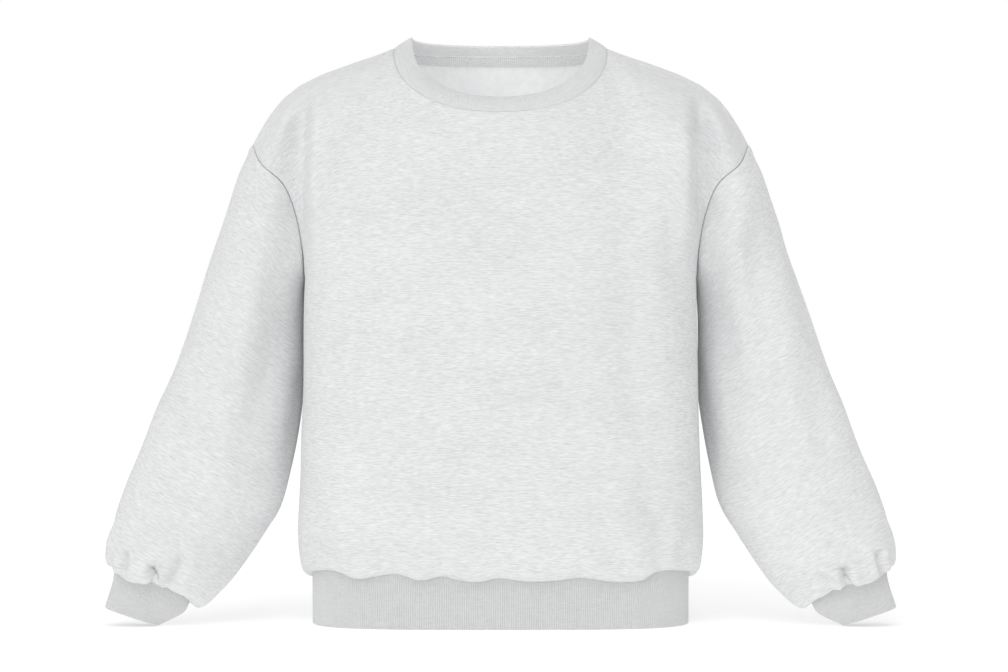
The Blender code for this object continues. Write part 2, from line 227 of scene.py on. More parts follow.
@dataclass(frozen=True)
class Valleys:
    """The valley in front of and behind each armpit, shared by the panels and the sleeves."""

    rows: tuple[Valley, ...] = (
        Valley(0.4000, 0.2290, 0.0000, 0.016, 0.030),
        Valley(0.4300, 0.2290, 0.0150, 0.011, 0.032),
        Valley(0.4700, 0.2285, 0.0370, 0.009, 0.034),
        Valley(0.5100, 0.2280, 0.0480, 0.008, 0.032),
        Valley(0.5450, 0.2275, 0.0520, 0.008, 0.028),
        Valley(0.5750, 0.2270, 0.0440, 0.008, 0.020),
        Valley(0.5950, 0.2270, 0.0260, 0.008, 0.016),
        Valley(0.6180, 0.2270, 0.0000, 0.010, 0.016),
    )
    back_share: float = 0.55
    clear: float = 0.055  # a point nearer than this to the seams' plane moves less

    def press(self, points: Array) -> Array:
        """Push points into the valleys."""
        heights = np.array([row.z for row in self.rows])
        x, y, z = points[..., 0], points[..., 1], points[..., 2]
        floor_x, depth, chest, arm = (
            np.interp(z, heights, [getattr(row, name) for row in self.rows])
            for name in ("x", "depth", "chest_width", "arm_width")
        )
        away = np.abs(x) - floor_x
        bump = np.exp(-((away / np.where(away < 0, chest, arm)) ** 2))
        share = np.where(y < 0, 1.0, self.back_share) * np.clip(np.abs(y) / self.clear, 0, 1) ** 2
        pressed = points.copy()
        pressed[..., 1] -= np.sign(y) * depth * bump * share
        return pressed


@dataclass(frozen=True)
class Crease:
    """A soft trough, or a ridge where depth is below 0, along a smooth path."""

    facing: Facing
    path: tuple[tuple[float, float], ...]
    width: float
    depth: float
    fade: float = 0.30  # the share of its length over which each end dies out

    def bite(self, points: Array, normals: Array) -> Array:
        """Work out how far it pushes each point inward.

        Args:
            points: The surface before any crease.
            normals: Its outward normals.

        Returns:
            One distance for each point.
        """
        direction, axes = self.facing.value
        flat = points[..., axes]
        line = at_shares(through(np.array(self.path), np.linspace(0, 1, DENSE // 3)), np.linspace(0, 1, 13))
        nearest = np.full(flat.shape[:-1], np.inf)
        along = np.zeros(flat.shape[:-1])
        for number, (start, end) in enumerate(zip(line, line[1:])):
            run = end - start
            t = np.clip((flat - start) @ run / (run @ run), 0, 1)
            away = np.linalg.norm(flat - start - t[..., None] * run, axis=-1)
            closer = away < nearest
            nearest = np.where(closer, away, nearest)
            along = np.where(closer, (number + t) / (len(line) - 1), along)
        ends = ease(along / self.fade) * ease((1 - along) / self.fade)
        across = nearest / self.width
        profile = np.exp(-(across**2)) - 0.30 * np.exp(-(((across - 2.1) / 1.1) ** 2))
        seen = ease((normals @ np.array(direction)) / 0.55)
        return self.depth * profile * ends * seen


def press_creases(grid: Array, closed: bool, creases: tuple[Crease, ...], keep: Array) -> Array:
    """Push a grid into its creases.

    Args:
        grid: The surface.
        closed: Whether its last column repeats its first.
        creases: The creases.
        keep: For each point, 0 where it stays and 1 where it moves the whole way.

    Returns:
        The creased surface.
    """
    normals = normals_of(grid, closed)
    bite = sum((crease.bite(grid, normals) for crease in creases), np.zeros(grid.shape[:2]))
    return grid - normals * (bite * keep)[..., None]


@dataclass(frozen=True)
class Softness:
    """The slow unevenness that cloth has between its creases."""

    reach: float = 0.085
    depth: float = 0.0016
    seed: float = 3.7

    def press(self, grid: Array, closed: bool, keep: Array) -> Array:
        """Move a grid in and out by a slow noise."""
        normals = normals_of(grid, closed)
        scaled = grid.reshape(-1, 3) / self.reach + self.seed
        waves = np.array([noise.noise(Vector(point)) for point in scaled]).reshape(grid.shape[:2])
        return grid + normals * (waves * self.depth * keep)[..., None]


@dataclass(frozen=True)
class Seam:
    """A plain seam: the cloth turns in at it and stands up a little beside it."""

    dip: float = 0.0007
    dip_width: float = 0.0022
    rise: float = 0.0006
    rise_at: float = 0.0075
    rise_width: float = 0.0036

    def bite(self, distance: Array) -> Array:
        """Work out how far the cloth turns in at each distance from the seam."""
        dip = self.dip * np.exp(-((distance / self.dip_width) ** 2))
        rise = self.rise * np.exp(-(((distance - self.rise_at) / self.rise_width) ** 2))
        return dip - rise


@dataclass(frozen=True)
class Blouse:
    """Fleece that is gathered into a rib band hangs over it, as far as its table says.

    Each row of the table has the place along the band and how far the cloth sags there.
    """

    table: tuple[tuple[float, float], ...]
    reach: float = 0.0085  # how far above the seam it hangs lowest
    swell: float = 0.0008  # how far it stands out everywhere
    swell_share: float = 0.35  # and the share of its sag that it stands out further

    def hang(self, grid: Array, closed: bool, place: Array, above: Array, down: Array) -> Array:
        """Let the cloth above a band hang over it.

        Args:
            grid: The surface.
            closed: Whether its last column repeats its first.
            place: For each point, its place along the band.
            above: For each point, its distance above the seam on the cloth.
            down: The direction in which it sags, for each point or one for all.

        Returns:
            The surface with its overhang.
        """
        amount = along_table(self.table, place)
        near = above / self.reach
        bump = near * np.exp(1 - near)
        out = normals_of(grid, closed) * ((self.swell + self.swell_share * amount) * bump)[..., None]
        return grid + out + down * (amount * bump)[..., None]


# ================================================================ sheets
@dataclass(frozen=True)
class Cloth:
    """What a sheet is cut from."""

    slot: str
    thickness: float
    outside: bpy.types.Material
    inside: bpy.types.Material


def select_nothing() -> None:
    """Deselect everything, the CAD nodes too."""
    bpy.ops.object.select_all(action="DESELECT")


def grid_object(name: str, grid: Array, flat: tuple[Array, Array]) -> bpy.types.Object:
    """Shape a grid primitive into a sheet and lay its UV map out in metres.

    Args:
        name: The piece's name.
        grid: Its points, in rows that run up and columns to the right as seen from outside.
        flat: Its flat sizes to the right and up.

    Returns:
        The sheet, with any edges that meet sewn together.
    """
    rows, columns = grid.shape[0] - 1, grid.shape[1] - 1
    select_nothing()
    bpy.ops.mesh.primitive_grid_add(x_subdivisions=columns, y_subdivisions=rows, size=1.0)
    piece = bpy.context.object
    piece.name = piece.data.name = name
    mesh = piece.data
    mesh.vertices.foreach_set("co", grid.reshape(-1))
    corner = np.empty(len(mesh.loops), dtype=np.int32)
    mesh.loops.foreach_get("vertex_index", corner)
    spread = np.stack(flat, axis=-1).reshape(-1, 2)
    mesh.uv_layers.active.name = FLAT
    mesh.uv_layers.active.data.foreach_set("uv", spread[corner].reshape(-1))
    mesh.update()
    bpy.ops.object.mode_set(mode="EDIT")
    bpy.ops.mesh.select_all(action="SELECT")
    bpy.ops.mesh.remove_doubles(threshold=1e-5)
    bpy.ops.object.mode_set(mode="OBJECT")
    return piece


def dress(piece: bpy.types.Object, cloth: Cloth) -> None:
    """Give a piece its finishes, its smooth shading and its place on the garment.

    Args:
        piece: The piece, named as the CAD node that it stands for with a word before it.
        cloth: What it is cut from.
    """
    if not piece.data.materials:
        piece.data.materials.append(cloth.outside)
    select_nothing()
    piece.select_set(True)
    bpy.context.view_layer.objects.active = piece
    bpy.ops.object.shade_smooth_by_angle(angle=math.radians(60))
    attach(piece, BODY)


def sheet_object(name: str, grid: Array, flat: tuple[Array, Array], cloth: Cloth) -> bpy.types.Object:
    """Make a thin shell of cloth.

    Args:
        name: The piece's name.
        grid: Its outer face.
        flat: Its flat sizes to the right and up.
        cloth: What it is cut from.

    Returns:
        The dressed shell.
    """
    piece = grid_object(name, grid, flat)
    for finish in (cloth.outside, cloth.inside):
        piece.data.materials.append(finish)
    wall = piece.modifiers.new("wall", "SOLIDIFY")
    wall.thickness = cloth.thickness
    wall.offset = -1.0
    wall.material_offset = 1
    bpy.ops.object.modifier_apply(modifier=wall.name)
    dress(piece, cloth)
    return piece


def draw_in(grid: Array, closed: bool, rows: tuple[int, ...], gap: float) -> Array:
    """Draw a grid's seam rows in by gap, and its side columns where it isn't closed."""
    held = grid.copy()
    for row in rows:
        inner = 1 if row == 0 else -2
        held[row] += unit(grid[inner] - grid[row]) * gap
    if not closed:
        for column, inner in ((0, 1), (-1, -2)):
            held[:, column] += unit(grid[:, inner] - grid[:, column]) * gap
    return held


def laid_flat(grid: Array) -> tuple[tuple[float, float], float]:
    """Measure the width and length of what shows of a rib, laid flat, and its area."""
    right, up = flat_sizes(grid)
    return (float(np.ptp(right, axis=1).mean()), float(up[-1].mean())), area_of(grid)


class Edge(Enum):
    """An edge of a grid: the axis that crosses it, and whether it comes last."""

    BOTTOM = (0, False)
    TOP = (0, True)
    LEFT = (1, False)
    RIGHT = (1, True)


@dataclass(frozen=True)
class Allowance:
    """The cloth past a seam, turned in under the piece that it is sewn to."""

    depth: float
    reach: float
    steps: tuple[tuple[float, float], ...] = ((0.5, 0.0), (1.0, 0.3), (1.0, 1.0))

    def carry(
        self, grid: Array, flat: tuple[Array, Array], edge: Edge, closed: bool, share: Any = 1.0
    ) -> tuple[Array, tuple[Array, Array]]:
        """Carry a sheet on past one of its seams.

        Args:
            grid: The sheet.
            flat: Its flat sizes to the right and up.
            edge: The edge that is sewn.
            closed: Whether its last column repeats its first.
            share: For each point along the edge, the share of the allowance that it has.

        Returns:
            The longer sheet and its flat sizes.
        """
        axis, last = edge.value
        lines, spokes = (np.moveaxis(each, axis, 0) for each in (grid, normals_of(grid, closed)))
        spread = [np.moveaxis(each, axis, 0) for each in flat]
        at, inner = (-1, -2) if last else (0, 1)
        away = unit(lines[at] - lines[inner])
        share = np.broadcast_to(share, lines.shape[1])[:, None]
        made = [
            lines[at] + (away * (self.reach * on) - spokes[at] * (self.depth * down)) * share
            for down, on in self.steps
        ]
        run = np.linalg.norm(np.diff(np.array([lines[at], *made]), axis=0), axis=2).cumsum(axis=0)
        grown = [np.repeat(each[at][None], len(made), axis=0) for each in spread]
        grown[1 - axis] = grown[1 - axis] + (run if last else -run)
        extra = [np.array(made), *grown]
        whole = [lines, *spread]
        joined = [np.concatenate([a, b] if last else [b[::-1], a]) for a, b in zip(whole, extra)]
        longer, right, up = (np.moveaxis(each, 0, axis) for each in joined)
        return longer, (right, up)


UNDER = Allowance(0.0026, 0.0050)  # under the next panel
INTO_RIB = Allowance(0.0005, 0.0020)  # between the two layers of a rib band


def declare(piece: bpy.types.Object, node: str, cut: tuple[float, float], area: float, held: Held) -> None:
    """Hide the CAD node that a sheet stands for, and log the sheet's faces and the size that it was cut to.

    Args:
        piece: The sheet.
        node: The CAD node.
        cut: The width and length of its cut, flat.
        area: Of that cut.
        held: How it is held; not used.
    """
    width, length = cut
    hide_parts(node)
    min(area, width * length)
    LOG.info("%s: %d faces, cut %.3f x %.3f m", piece.name, len(piece.data.polygons), width, length)


# ================================================================ rings
@dataclass(frozen=True)
class Ring:
    """A ring round the torso. Each half has its depth and how boxy it is."""

    z: float
    half_width: float
    front: float
    back: float
    square_front: float
    square_back: float

    def half(self, side: Side, shares: Array) -> Array:
        """List the front or back half, left to right as seen from outside."""
        behind = side is Side.BACK
        depth, square = (self.back, self.square_back) if behind else (self.front, self.square_front)
        x = self.half_width * power(np.cos(half_turn()), 2 / square)
        y = depth * power(np.sin(half_turn()), 2 / square)
        points = np.column_stack([-side.value * x, side.value * y, np.full(DENSE, self.z)])
        return at_shares(points, shares)


@dataclass(frozen=True)
class NeckRing:
    """A ring round the neck. Each half has its depth and its drop below side_z."""

    half_width: float
    side_z: float
    front: float
    front_drop: float
    back: float
    back_drop: float
    square_ahead: float = 2.25  # how boxy it looks from the front
    square_above: float = 2.60  # and from above

    def half(self, side: Side, shares: Array) -> Array:
        """List the front or back half, left to right as seen from outside."""
        behind = side is Side.BACK
        depth, drop = (self.back, self.back_drop) if behind else (self.front, self.front_drop)
        across = power(np.cos(half_turn()), 2 / self.square_ahead)
        dip = (1 - np.abs(across) ** self.square_ahead) ** (1 / self.square_ahead)
        bow = (1 - np.abs(across) ** self.square_above) ** (1 / self.square_above)
        points = [-side.value * self.half_width * across, side.value * depth * bow, self.side_z - drop * dip]
        return at_shares(np.column_stack(points), shares)


@dataclass(frozen=True)
class Section:
    """A ring of a left sleeve or cuff, from its outer end round its front to its inner end and back."""

    outer_x: float
    outer_z: float
    inner_x: float
    inner_z: float
    front: float
    back: float
    forward: float
    square: float
    slope: float = 1.0  # below 1, its inner front slopes back beside the body

    def half(self, side: Side, shares: Array) -> Array:
        """List its front or back half, from the outer end to the inner end."""
        outer = np.array((self.outer_x, -self.forward, self.outer_z))
        inner = np.array((self.inner_x, -self.forward, self.inner_z))
        angle = np.linspace(0, math.pi, DENSE)[:, None]
        beside = (angle > math.pi / 2) & (side is Side.FRONT)
        bow = 2 / (self.square * np.where(beside, self.slope, 1.0))
        line = (outer + inner) / 2 + (outer - inner) / 2 * power(np.cos(angle), bow)
        depth = self.back if side is Side.BACK else self.front
        return at_shares(line + side.value * depth * power(np.sin(angle), bow) * (0, 1, 0), shares)


# ================================================================ torso
@dataclass(frozen=True)
class Torso:
    """The front and back panels, and the armholes and neck seam that the other pieces are sewn to."""

    rings: tuple[Ring, ...] = (
        Ring(0.0570, 0.2195, 0.1120, 0.1060, 3.4, 2.8),
        Ring(0.0640, 0.2300, 0.1215, 0.1160, 3.2, 2.8),
        Ring(0.0780, 0.2345, 0.1285, 0.1220, 3.1, 2.7),
        Ring(0.1020, 0.2365, 0.1315, 0.1250, 3.0, 2.6),
        Ring(0.1350, 0.2355, 0.1320, 0.1260, 2.9, 2.5),
        Ring(0.1800, 0.2335, 0.1310, 0.1260, 2.9, 2.4),
        Ring(0.2500, 0.2315, 0.1300, 0.1250, 2.8, 2.4),
        Ring(0.3300, 0.2300, 0.1290, 0.1230, 2.8, 2.4),
        Ring(0.4000, 0.2285, 0.1280, 0.1200, 2.8, 2.4),
    )
    front_wave: tuple[tuple[float, float], ...] = (
        (-0.2195, -0.0050), (-0.2170, 0.0030), (-0.2040, 0.0070), (-0.1900, 0.0076), (-0.1760, 0.0048),
        (-0.1610, 0.0003), (-0.1430, 0.0031), (-0.1215, 0.0059), (-0.1080, 0.0043), (-0.0915, -0.0003),
        (-0.0735, 0.0025), (-0.0630, 0.0037), (-0.0450, -0.0003), (-0.0226, -0.0014), (-0.0020, 0.0020),
        (0.0240, -0.0008), (0.0460, -0.0013), (0.0700, 0.0003), (0.0880, 0.0025), (0.1040, 0.0008),
        (0.1290, -0.0020), (0.1570, -0.0014), (0.1720, 0.0059), (0.1940, 0.0082), (0.2110, 0.0054),
        (0.2170, 0.0030), (0.2195, -0.0050),
    )
    back_wave: tuple[tuple[float, float], ...] = (
        (-0.2195, -0.0050), (-0.2150, 0.0030), (-0.1960, 0.0052), (-0.1700, -0.0010), (-0.1420, 0.0008),
        (-0.1130, 0.0052), (-0.0850, 0.0004), (-0.0580, -0.0014), (-0.0330, 0.0040), (-0.0080, -0.0006),
        (0.0170, 0.0012), (0.0420, -0.0004), (0.0660, -0.0016), (0.0920, 0.0048), (0.1200, -0.0010),
        (0.1500, 0.0010), (0.1780, 0.0060), (0.2050, 0.0034), (0.2150, 0.0024), (0.2195, -0.0050),
    )
    wave_shares: tuple[float, ...] = (1.0, 0.85, 0.50, 0.18)  # how much each ring above it follows
    front_cut: tuple[float, float, float] = (0.620, 0.665, 0.370)  # width, length and area
    back_cut: tuple[float, float, float] = (0.620, 0.690, 0.385)
    shoulder_seam: tuple[tuple[float, float], ...] = (
        (0.2913, 0.5575),
        (0.2825, 0.5745),
        (0.2700, 0.5945),
        (0.2562, 0.6115),
        (0.2360, 0.6275),
        (0.2100, 0.6405),
        (0.1730, 0.6540),
        (0.1442, 0.6635),
        (0.1250, 0.6710),
    )
    armhole_front: tuple[tuple[float, float, float], ...] = (
        (0.2285, 0.000, 0.4000),
        (0.2290, -0.052, 0.4280),
        (0.2360, -0.083, 0.4720),
        (0.2500, -0.086, 0.5080),
        (0.2765, -0.056, 0.5320),
        (0.2913, 0.000, 0.5575),
    )
    armhole_back: tuple[tuple[float, float, float], ...] = (
        (0.2285, 0.000, 0.4000),
        (0.2300, 0.050, 0.4280),
        (0.2400, 0.080, 0.4720),
        (0.2540, 0.082, 0.5100),
        (0.2765, 0.052, 0.5350),
        (0.2913, 0.000, 0.5575),
    )
    neck_seam: NeckRing = NeckRing(0.1250, 0.6710, 0.1050, 0.0832, 0.0900, 0.0015)
    rise_share: float = 0.36
    crown_share: float = 0.34
    tip_lean: float = 20.0
    neck_point_lean: float = 24.0
    front_lean: float = 67.0
    back_lean: float = 58.0
    lean_onset: float = 1.2
    fan: float = 0.35
    armhole_reach: float = 0.55
    # Grid steps.
    shoulder_columns: int = 35
    neck_columns: int = 45
    side_crowding: float = 1.35
    armhole_rows: int = 70
    lower_rows: int = 92
    hem_crowding: float = 1.25
    # Cloth.
    seam_gap: float = 0.0003
    seam: Seam = Seam()
    seam_keep: float = 0.012  # creases die out this near a seam
    valleys: Valleys = Valleys()
    softness: Softness = Softness()
    front_creases: tuple[Crease, ...] = (
        Crease(
            Facing.FRONT,
            ((-0.149, 0.470), (-0.153, 0.400), (-0.168, 0.310), (-0.172, 0.230)),
            0.021, 0.0052,
        ),
        Crease(Facing.FRONT, ((0.139, 0.470), (0.141, 0.400), (0.152, 0.280), (0.163, 0.170)), 0.022, 0.0055),
        Crease(Facing.FRONT, ((0.160, 0.190), (0.172, 0.140), (0.197, 0.094)), 0.016, 0.0050),
        Crease(Facing.FRONT, ((-0.162, 0.100), (-0.140, 0.086), (-0.116, 0.062)), 0.010, 0.0050, 0.35),
        Crease(
            Facing.FRONT,
            ((-0.226, 0.083), (-0.212, 0.093), (-0.193, 0.088), (-0.184, 0.078)),
            0.0065, 0.0036,
        ),
        Crease(Facing.FRONT, ((0.098, 0.100), (0.122, 0.090), (0.150, 0.066)), 0.010, 0.0042),
        Crease(Facing.FRONT, ((-0.013, 0.160), (-0.012, 0.110), (-0.006, 0.066)), 0.010, 0.0026),
        Crease(Facing.FRONT, ((-0.060, 0.110), (-0.066, 0.090), (-0.062, 0.064)), 0.007, 0.0026),
        Crease(Facing.FRONT, ((0.085, 0.094), (0.090, 0.078), (0.087, 0.062)), 0.007, 0.0028),
        Crease(Facing.FRONT, ((0.176, 0.098), (0.181, 0.078), (0.178, 0.064)), 0.007, 0.0032),
        Crease(Facing.FRONT, ((0.222, 0.120), (0.212, 0.092), (0.198, 0.076)), 0.009, 0.0040),
        Crease(Facing.FRONT, ((-0.228, 0.160), (-0.210, 0.128), (-0.205, 0.100)), 0.012, 0.0030),
        Crease(Facing.FRONT, ((-0.214, 0.520), (-0.190, 0.455), (-0.196, 0.380)), 0.014, 0.0030),
        Crease(Facing.FRONT, ((0.216, 0.500), (0.196, 0.450), (0.200, 0.370)), 0.014, 0.0030),
        Crease(Facing.FRONT, ((0.050, 0.500), (0.046, 0.400), (0.060, 0.300)), 0.030, 0.0022),
        Crease(Facing.FRONT, ((-0.060, 0.380), (-0.072, 0.280), (-0.064, 0.190)), 0.030, 0.0020),
    )
    back_creases: tuple[Crease, ...] = (
        Crease(Facing.BACK, ((-0.150, 0.490), (-0.143, 0.380), (-0.130, 0.250)), 0.024, 0.0052),
        Crease(Facing.BACK, ((0.138, 0.470), (0.143, 0.350), (0.158, 0.190)), 0.022, 0.0055),
        Crease(Facing.BACK, ((0.020, 0.320), (0.000, 0.210), (-0.032, 0.105)), 0.026, 0.0042),
        Crease(Facing.BACK, ((0.110, 0.110), (0.098, 0.086), (0.101, 0.064)), 0.009, 0.0040),
        Crease(Facing.BACK, ((-0.080, 0.105), (-0.094, 0.084), (-0.090, 0.064)), 0.008, 0.0034),
        Crease(Facing.BACK, ((0.030, 0.096), (0.026, 0.080), (0.030, 0.064)), 0.007, 0.0030),
        Crease(Facing.BACK, ((-0.208, 0.110), (-0.188, 0.092), (-0.170, 0.066)), 0.010, 0.0046),
        Crease(Facing.BACK, ((0.218, 0.124), (0.196, 0.098), (0.180, 0.070)), 0.009, 0.0042),
        Crease(Facing.BACK, ((-0.215, 0.500), (-0.194, 0.430), (-0.204, 0.350)), 0.015, 0.0036),
        Crease(Facing.BACK, ((0.214, 0.510), (0.192, 0.440), (0.200, 0.340)), 0.015, 0.0036),
        Crease(Facing.BACK, ((-0.070, 0.560), (0.000, 0.545), (0.078, 0.566)), 0.022, 0.0024),
    )
    front_hem: Blouse = Blouse((
        (-0.2300, 0.0007), (-0.2050, 0.0010), (-0.1900, 0.0002), (-0.1620, 0.0019), (-0.1400, 0.0014),
        (-0.1210, 0.0004), (-0.1060, 0.0010), (-0.0914, 0.0019), (-0.0720, 0.0012), (-0.0620, 0.0009),
        (-0.0450, 0.0019), (-0.0240, 0.0022), (-0.0020, 0.0013), (0.0230, 0.0020), (0.0470, 0.0020),
        (0.0690, 0.0016), (0.0880, 0.0012), (0.1050, 0.0016), (0.1300, 0.0022), (0.1560, 0.0020),
        (0.1720, 0.0005), (0.1900, 0.0002), (0.2100, 0.0012), (0.2300, 0.0007),
    ))
    back_hem: Blouse = Blouse((
        (-0.2300, 0.0007), (-0.2080, 0.0013), (-0.1900, 0.0006), (-0.1640, 0.0021), (-0.1360, 0.0017),
        (-0.1080, 0.0004), (-0.0830, 0.0017), (-0.0580, 0.0021), (-0.0320, 0.0008), (-0.0080, 0.0018),
        (0.0180, 0.0014), (0.0400, 0.0019), (0.0660, 0.0022), (0.0900, 0.0006), (0.1160, 0.0020),
        (0.1480, 0.0016), (0.1760, 0.0004), (0.2050, 0.0013), (0.2300, 0.0007),
    ))

    def column_shares(self) -> Array:
        """Say where a panel's columns lie along a half ring, closer together near both sides."""
        half = self.shoulder_columns + self.neck_columns
        left = 0.5 * np.linspace(0, 1, half + 1) ** self.side_crowding
        return np.r_[left, 1 - left[-2::-1]]

    def hem_seam(self, side: Side, shares: Array) -> Array:
        """List half of the seam between the body and the hem band."""
        return self.waved(side, self.rings[0].half(side, shares), 1.0)

    def waved(self, side: Side, ring: Array, share: float) -> Array:
        """Let half a ring follow a share of the hem seam's wave."""
        wave = self.back_wave if side is Side.BACK else self.front_wave
        reach = self.rings[0].half_width / np.abs(ring[:, 0]).max()
        return ring + np.outer(share * along_table(wave, ring[:, 0] * reach), (0, 0, 1))

    def armhole(self, side: Side, hand: Hand) -> Array:
        """List half of an armhole, from the armpit to the tip of the shoulder."""
        points = self.armhole_back if side is Side.BACK else self.armhole_front
        curve = through(np.array(points), np.linspace(0, 1, DENSE))
        return at_shares(curve, np.linspace(0, 1, self.armhole_rows + 1)) * (hand.value, 1, 1)

    def crown(self, side: Side) -> tuple[Array, Array]:
        """Lay out a panel's top edge.

        Args:
            side: Front or back.

        Returns:
            Its points and the direction in which each column reaches it.
        """
        facing = side.value
        climb = np.linspace(0, 1, self.shoulder_columns + 1)
        seam = at_shares([(x, 0.0, z) for x, z in self.shoulder_seam], climb**1.15)
        neck = self.neck_seam.half(side, np.linspace(0, 1, 2 * self.neck_columns + 1))
        top = np.vstack([seam * (facing, 1, 1), neck[1:-1], seam[::-1] * (-facing, 1, 1)])

        run = np.gradient(neck, axis=0)
        square = unit(np.column_stack([run[:, 1], -run[:, 0]]))
        square[[0, -1]] = (facing, 0), (-facing, 0)
        growing = climb[:-1, None] ** 2
        square = np.vstack([growing * square[:1], square, growing[::-1] * square[-1:]])
        level = unit((1 - self.fan) * np.array((0, facing)) + self.fan * square)

        steep = (np.abs(neck[:, 1]) / np.abs(neck[:, 1]).max()) ** self.lean_onset
        centre = self.back_lean if side is Side.BACK else self.front_lean
        shoulder = self.tip_lean + (self.neck_point_lean - self.tip_lean) * climb[:-1]
        lean = np.r_[shoulder, self.neck_point_lean + (centre - self.neck_point_lean) * steep, shoulder[::-1]]
        lean = np.radians(lean)[:, None]
        return top, np.hstack([level * np.cos(lean), -np.sin(lean)])

    def upper(self, side: Side) -> Array:
        """Grow a panel's rows from the armpit ring to its top."""
        shares = self.column_shares()
        bottom = self.rings[-1].half(side, shares)
        top, directions = self.crown(side)
        length = np.linalg.norm(top - bottom, axis=1)[:, None]
        rise = bottom + length * self.rise_share * np.array((0, 0, 1))
        reach = top + length * self.crown_share * directions
        steps = np.linspace(0, 1, self.armhole_rows + 1)
        t = np.linspace(0, 1, DENSE)[:, None]
        columns = []
        for a, b, c, d in zip(bottom, rise, reach, top):
            curve = (1 - t) ** 3 * a + 3 * (1 - t) ** 2 * t * b + 3 * (1 - t) * t**2 * c + t**3 * d
            columns.append(at_shares(curve, steps))
        grid = np.array(columns).transpose(1, 0, 2)
        share = np.clip(shares / self.armhole_reach * 2, 0, 1)
        left, right = (Hand.LEFT, Hand.RIGHT) if side is Side.BACK else (Hand.RIGHT, Hand.LEFT)
        for column, hand, weights in ((0, left, share), (-1, right, share[::-1])):
            bulge = self.armhole(side, hand) - grid[:, column]
            fade = (1 - weights) ** 2 * (1 + 2 * weights)
            grid += bulge[:, None, :] * fade[None, :, None]
        return grid

    def form(self, side: Side, plain: bool = False) -> Array:
        """Build a panel's smooth outer face; a plain one has no wave at its hem and no valleys."""
        shares = self.column_shares()
        rings = [ring.half(side, shares) for ring in self.rings]
        for number, share in enumerate(() if plain else self.wave_shares):
            rings[number] = self.waved(side, rings[number], share)
        heights = [ring.z for ring in self.rings]
        climb = np.linspace(0, 1, self.lower_rows + 1) ** self.hem_crowding
        wanted = np.interp(heights[0] + (heights[-1] - heights[0]) * climb, heights, range(len(rings)))
        lower = through_grids(rings, wanted / (len(rings) - 1))
        whole = np.vstack([lower, self.upper(side)[1:]])
        return whole if plain else self.valleys.press(whole)

    def panel(self, side: Side) -> Array:
        """Build a panel's outer face with its creases, its overhang and its seams."""
        grid = self.form(side)
        right, up = flat_sizes(grid)
        to_side = np.minimum(right - right[:, :1], right[:, -1:] - right)
        to_top = up[-1:] - up
        to_seam = np.minimum(to_side, to_top)
        behind = side is Side.BACK
        creases = self.back_creases if behind else self.front_creases
        keep = ease(to_seam / self.seam_keep) * ease(up / self.seam_keep)
        grid = press_creases(grid, False, creases, keep)
        grid = self.softness.press(grid, False, keep)
        hem = self.back_hem if behind else self.front_hem
        grid = hem.hang(grid, False, grid[..., 0], up, np.array((0.0, 0.0, -1.0)))
        grid -= normals_of(grid, False) * self.seam.bite(to_seam)[..., None]
        return draw_in(grid, False, (0, -1), self.seam_gap / 2)

    def build(self, cloth: Cloth, shift: Array) -> dict[Side, Array]:
        """Make both panels.

        Args:
            cloth: What they are cut from.
            shift: From the sizes' own origin to the garment's.

        Returns:
            The outer face of each panel.
        """
        made = {}
        for side, node in ((Side.FRONT, "front_panel"), (Side.BACK, "back_panel")):
            grid = self.panel(side) + shift
            piece = sheet_object(f"soft_{node}", *self.allowed(side, grid), cloth)
            width, length, area = self.back_cut if side is Side.BACK else self.front_cut
            declare(piece, node, (width, length), area, Held.HUNG)
            made[side] = grid
        return made

    def allowed(self, side: Side, grid: Array) -> tuple[Array, tuple[Array, Array]]:
        """Add the seam allowances: the front goes under the back, and both go into the ribs."""
        flat = flat_sizes(self.form(side, plain=True))
        column = np.arange(grid.shape[1])
        neck = np.abs(column - column.mean()) <= self.neck_columns
        grid, flat = INTO_RIB.carry(grid, flat, Edge.BOTTOM, False)
        grid, flat = INTO_RIB.carry(grid, flat, Edge.TOP, False, neck)
        if side is Side.FRONT:
            below = np.clip((self.lower_rows - np.arange(grid.shape[0])) / 3, 0, 1)
            for edge in (Edge.LEFT, Edge.RIGHT):
                grid, flat = UNDER.carry(grid, flat, edge, False, below)
        return grid, flat


# ================================================================ sleeves
@dataclass(frozen=True)
class CuffRise:
    """How far the cuff's seam climbs, from the underarm round by the front and back again."""

    table: tuple[tuple[float, float], ...]
    shares: tuple[float, ...] = (1.0, 0.82, 0.55, 0.22)  # how much each ring above it follows
    left_share: float = 0.85

    def lift(self, ring: Array, hand: Hand, share: float) -> Array:
        """Lift a ring by a share of the climb."""
        amount = share * (self.left_share if hand is Hand.LEFT else 1.0)
        return ring + np.outer(amount * along_table(self.table, np.linspace(0, 1, len(ring))), (0, 0, 1))


CUFF_RISE = CuffRise((
    (0.0, 0.0030), (0.040, 0.0075), (0.095, 0.0155), (0.145, 0.0167), (0.200, 0.0170), (0.260, 0.0105),
    (0.320, 0.0050), (0.380, 0.0055), (0.440, 0.0040), (0.500, 0.0030), (0.600, 0.0060), (0.680, 0.0100),
    (0.750, 0.0085), (0.820, 0.0110), (0.900, 0.0060), (1.0, 0.0030),
))


